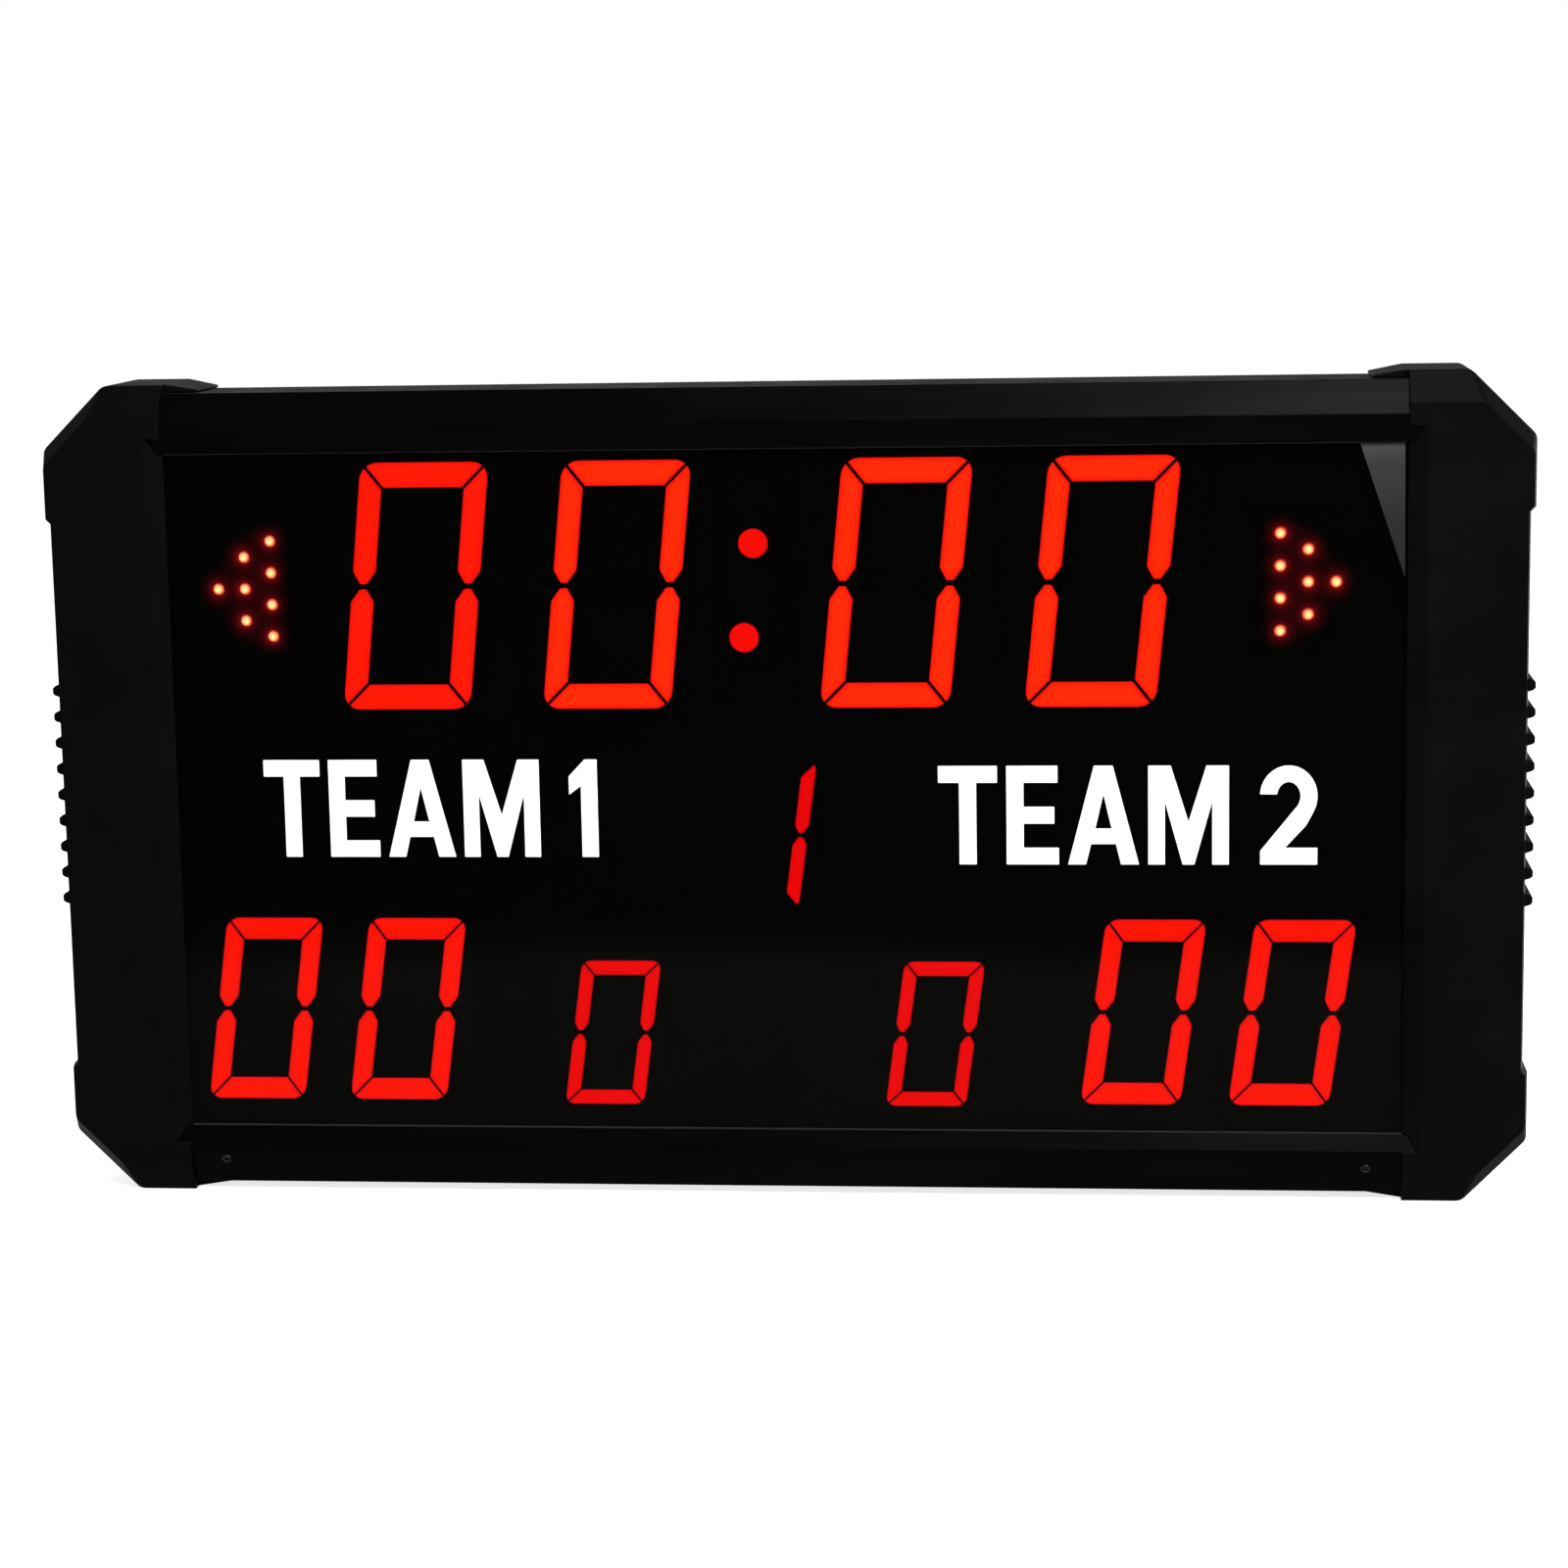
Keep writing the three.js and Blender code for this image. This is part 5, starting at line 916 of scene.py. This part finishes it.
def painted_glow_sheet(side, places):
    """Thin sheet between the mask and the panel that carries the lamps' painted glow, each lamp's share
    summed into an attribute.
    """
    mask_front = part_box("display_mask")[0].y
    panel_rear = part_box("front_panel")[1].y
    across = [x for x, y, z in places]
    upright = [z for x, y, z in places]
    margin, step = GLOW_MARGIN * MM, GLOW_STEP * MM
    left, low = min(across) - margin, min(upright) - margin
    columns = round((max(across) + margin - left) / step)
    rows = round((max(upright) + margin - low) / step)
    build = Build()
    for share in GLOW_DEPTH_SHARES:
        y = panel_rear + (mask_front - panel_rear) * share
        for row in range(rows + 1):
            for column in range(columns + 1):
                x, z = left + column * step, low + row * step
                # Painted glow: each lamp adds a share that falls off with distance
                glow = sum(1 / (1 + ((x - a) ** 2 + (z - b) ** 2) / (GLOW_SPREAD * MM) ** 2) ** 2
                           for a, b in zip(across, upright))
                border = min(column, columns - column, row, rows - row) / GLOW_BORDER_STEPS
                build.ring([(x, y, z)], min(1, max(0, glow - GLOW_FLOOR)) * min(1, border))
    count = (columns + 1) * (rows + 1)

    def corner(column, row, layer):
        return layer * count + row * (columns + 1) + column

    for row in range(rows):
        for column in range(columns):
            square = [(column, row), (column + 1, row), (column + 1, row + 1), (column, row + 1)]
            build.face([corner(*point, 0) for point in square])
            build.face([corner(*point, 1) for point in square[::-1]])
    edge = [(column, 0) for column in range(columns)] + [(columns, row) for row in range(rows)]
    edge += [(column, rows) for column in range(columns, 0, -1)] + [(0, row) for row in range(rows, 0, -1)]
    for here, after in zip(edge, edge[1:] + edge[:1]):
        build.face([corner(*here, 0), corner(*here, 1), corner(*after, 1), corner(*after, 0)])
    film = build.piece(side + "_arrow_glow_film", [painted_lamp_glow])
    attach(film, "case")


lamps_on_places = lamp_tree()
for side_of_board in ARROWS:
    arrow(lamps_on_places, *side_of_board)


def cover_screws():
    names = [f"back_cover_screw_{i}" for i in range(1, 7)]
    boxes = [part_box(name) for name in names]
    low, high = boxes[0]
    radius = (high.x - low.x) / 2
    sheet_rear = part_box("back_cover")[1].y
    height = high.y - sheet_rear
    places = [((a.x + b.x) / 2, sheet_rear, (a.z + b.z) / 2) for a, b in boxes]
    screws = screw_tree().make("back_cover_screws", places, screw_metal, Head_radius=radius,
                               Head_height=height, Shank_radius=SCREW_SHANK_RADIUS * MM,
                               Length=sheet_rear - low.y, Recess_width=RECESS_WIDTH * MM,
                               Recess_depth=RECESS_DEPTH * MM, Recess_span=RECESS_SPAN * MM)
    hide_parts(*names)
    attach(screws, "case")


cover_screws()


def rocker_marks():
    """A bar on the pressed upper half of the rocker and a ring on its raised lower half."""
    low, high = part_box("power_switch_housing")
    centre_x, level = (low.x + high.x) / 2, (low.z + high.z) / 2
    axis_y = high.y - ROCKER_AXIS_DEPTH * MM
    tilt = Matrix.Rotation(math.radians(ROCKER_TILT), 4, "X")

    def on_half(side, across, along, lift):
        """A point on one half of the paddle, at rest; along runs from its crown to its end."""
        slope = (ROCKER_END - ROCKER_CROWN) / ROCKER_HALF_LENGTH
        face = Vector((across, ROCKER_CROWN + slope * along + lift, side * along)) * MM
        return Vector((centre_x, axis_y, level)) + tilt @ face

    build = Build()
    half = BAR_MARK_WIDTH / 2
    bar = [(-half, BAR_MARK_START), (half, BAR_MARK_START), (half, BAR_MARK_END), (-half, BAR_MARK_END)]
    rear, front = (build.ring([on_half(1, x, z, lift) for x, z in bar]) for lift in (MARK_FOOT, MARK_FACE))
    build.face(rear)
    build.face(front[::-1])
    build.bridge(front, rear)
    rings = [build.ring([on_half(-1, x, RING_MARK_PLACE + z, lift)
                         for x, z in round_outline(radius, RING_MARK_SIDES)])
             for radius, lift in ((RING_MARK_OUTER, MARK_FOOT), (RING_MARK_OUTER, MARK_FACE),
                                  (RING_MARK_INNER, MARK_FACE), (RING_MARK_INNER, MARK_FOOT))]
    for near, far in zip(rings, rings[1:] + rings[:1]):
        build.bridge(near, far)
    marks = build.piece("power_rocker_marks", [legend_ink])
    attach(marks, "power_rocker")


rocker_marks()


# Printed legends

def arc_points(centre, across, up, start, end, steps):
    angles = [math.radians(start + (end - start) * i / steps) for i in range(steps + 1)]
    return [(centre[0] + across * math.cos(a), centre[1] + up * math.sin(a)) for a in angles]


def letter_outlines():
    """Outer and inner outlines of block letters, in millimetres from their lower left corner."""
    h, s, b = LETTER_HEIGHT, LETTER_STEM, LETTER_BAR
    t, e, a, m = (LETTER_WIDTHS[letter] for letter in "TEAM")
    left, right = (t - s) / 2, (t + s) / 2
    tee = [(left, 0), (right, 0), (right, h - b), (t, h - b), (t, h), (0, h), (0, h - b), (left, h - b)]
    mid = (h - b) / 2
    ee = [(0, 0), (e, 0), (e, b), (s, b), (s, mid), (e - 2, mid), (e - 2, mid + b), (s, mid + b), (s, h - b),
          (e - 0.5, h - b), (e - 0.5, h), (0, h)]
    ay = [(0, 0), (8, 0), (10.3, 8.4), (a - 10.3, 8.4), (a - 8, 0), (a, 0), (20.1, h), (11.7, h)]
    ay_counter = [(12.2, 14.8), (15.9, 29), (19.6, 14.8)]
    leg = s - 0.3
    em = [(0, 0), (leg, 0), (leg, 26), (15.4, 0), (m - 15.4, 0), (m - leg, 26), (m - leg, 0), (m, 0), (m, h),
          (m - 10, h), (m / 2, 17.5), (10, h), (0, h)]
    foot = LETTER_WIDTHS["1"] - s
    one = [(foot, 0), (foot + s, 0), (foot + s, h), (foot + 2, h), (0, h - 7), (0, h - 14.6), (foot, h - 11)]
    bowl = (12.6, h - 12.6)
    two = [(0, 0), (LETTER_WIDTHS["2"], 0), (LETTER_WIDTHS["2"], b), (11, b), (20.3, 16),
           *arc_points(bowl, 12.8, 12.6, -32, 176, 16), *arc_points(bowl, 5.3, 5.9, 172, -38, 10), (0, 5.6)]
    return {"T": [tee], "E": [ee], "A": [ay, ay_counter], "M": [em], "1": [one], "2": [two]}


def legend(name, text, left, base, width):
    """Printed words on the panel's front face."""
    letters = letter_outlines()
    curve = bpy.data.curves.new(name, "CURVE")
    curve.dimensions, curve.fill_mode = "2D", "BOTH"
    curve.extrude = PRINT_THICKNESS / 2 * MM
    pen = 0
    for letter in text:
        if letter == " ":
            pen += WORD_GAP - LETTER_GAP
            continue
        for outline in letters[letter]:
            spline = curve.splines.new("POLY")
            spline.points.add(len(outline) - 1)
            for point, (x, z) in zip(spline.points, outline):
                point.co = ((pen + x) * MM, z * MM, 0, 1)
            spline.use_cyclic_u = True
        pen += LETTER_WIDTHS[letter] + LETTER_GAP
    fit = width / (pen - LETTER_GAP)
    carrier = placed(name + "_outline", curve)
    mesh = bpy.data.meshes.new_from_object(carrier.evaluated_get(bpy.context.evaluated_depsgraph_get()))
    bpy.data.objects.remove(carrier)
    middle_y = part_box("front_panel")[0].y - (PRINT_THICKNESS / 2 + PRINT_LIFT) * MM
    stand = Matrix.Translation((left * MM, middle_y, base * MM))
    shape = bmesh.new()
    shape.from_mesh(mesh)
    bmesh.ops.remove_doubles(shape, verts=shape.verts, dist=SAME_POINT * MM)
    bmesh.ops.recalc_face_normals(shape, faces=shape.faces)
    shape.to_mesh(mesh)
    shape.free()
    mesh.transform(stand @ Matrix.Rotation(math.pi / 2, 4, "X") @ Matrix.Diagonal((fit, 1, 1, 1)))
    mesh.materials.clear()
    mesh.materials.append(legend_ink)
    piece = placed(name, mesh)
    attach(piece, "case")


def painted_reflection_corner():
    """Three-cornered thin sheet in the panel's upper right corner that carries a painted reflection."""
    rear_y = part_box("front_panel")[0].y - REFLECTION_SHEET_LIFT * MM
    build = Build()
    rear = build.ring([(x * MM, rear_y, z * MM) for x, z in REFLECTION_CORNER])
    face = build.ring([(x * MM, rear_y - REFLECTION_SHEET_THICKNESS * MM, z * MM) for x, z in REFLECTION_CORNER])
    build.face(rear[::-1])
    build.face(face)
    build.bridge(rear, face)
    film = build.piece("panel_painted_reflection", [painted_reflection_look])
    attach(film, "case")


for words in LEGENDS:
    legend(*words)
painted_reflection_corner()


# Studio

def studio_floor():
    finish = Finish("studio_floor_pale", Roughness=0.9, Specular_IOR_Level=0.1,
                    Emission_Color=(1.0, 1.0, 1.0))
    finish.ramp(finish.noise(30, 3), [(0.3, 0.49), (0.7, 0.51)], "Base Color")
    finish.shade(Emission_Strength=finish.math("MULTIPLY", finish.seen_white(), FLOOR_STRENGTH))
    half = FLOOR_HALF_WIDTH
    corners = [(-half, -half), (half, -half), (half, half), (-half, half)]
    floor = mesh_piece("studio_floor", [(x, y, FLOOR_LEVEL) for x, y in corners], [(0, 1, 2, 3)],
                       [finish.material])


def studio_world():
    world = bpy.data.worlds.new("studio_world")
    bpy.context.scene.world = world
    world.use_nodes = True
    sky = NodeTree(world.node_tree)
    mixed = sky.add("MixShader", Fac=sky.seen_white())
    for socket, strength in zip(mixed.inputs[1:], (SKY_STRENGTH, 1.0)):
        light = sky.add("Background", Color=(1, 1, 1), Strength=strength)
        sky.put(socket, light.outputs["Background"])
    sky.add("OutputWorld", Surface=mixed.outputs["Shader"])


def soft_light(name, place, target, size, watts):
    data = bpy.data.lights.new(name, "AREA")
    data.shape, data.size, data.size_y = "RECTANGLE", *size
    data.energy = watts
    lamp = placed(name, data)
    lamp.location = place
    lamp.rotation_mode = "QUATERNION"
    lamp.rotation_quaternion = (Vector(target) - Vector(place)).to_track_quat("-Z", "Y")


def studio_camera():
    """The photograph's viewpoint, fitted to the segments' corners and the case's edges."""
    yaw, pitch, roll = (math.radians(angle) for angle in (CAMERA_YAW, CAMERA_PITCH, CAMERA_ROLL))
    forward = Vector((math.sin(yaw) * math.cos(pitch), math.cos(yaw) * math.cos(pitch), -math.sin(pitch)))
    right = Vector((math.cos(yaw), -math.sin(yaw), 0))
    up = right.cross(forward)
    across = math.cos(roll) * right + math.sin(roll) * up
    upright = -math.sin(roll) * right + math.cos(roll) * up
    data = bpy.data.cameras.new("photo_camera")
    data.sensor_width, data.lens = SENSOR_WIDTH, FOCAL_PIXELS / FRAME_PIXELS * SENSOR_WIDTH
    data.clip_start, data.clip_end = CLIP_START, CLIP_END
    camera = placed("photo_camera", data)
    turn = Matrix((across, upright, -forward)).transposed().to_4x4()
    camera.matrix_world = Matrix.Translation(CAMERA_PLACE) @ turn
    bpy.context.scene.camera = camera


studio_floor()
studio_world()
studio_camera()
for light in LIGHTS:
    soft_light(*light)
bpy.context.scene.view_settings.view_transform = "Standard"
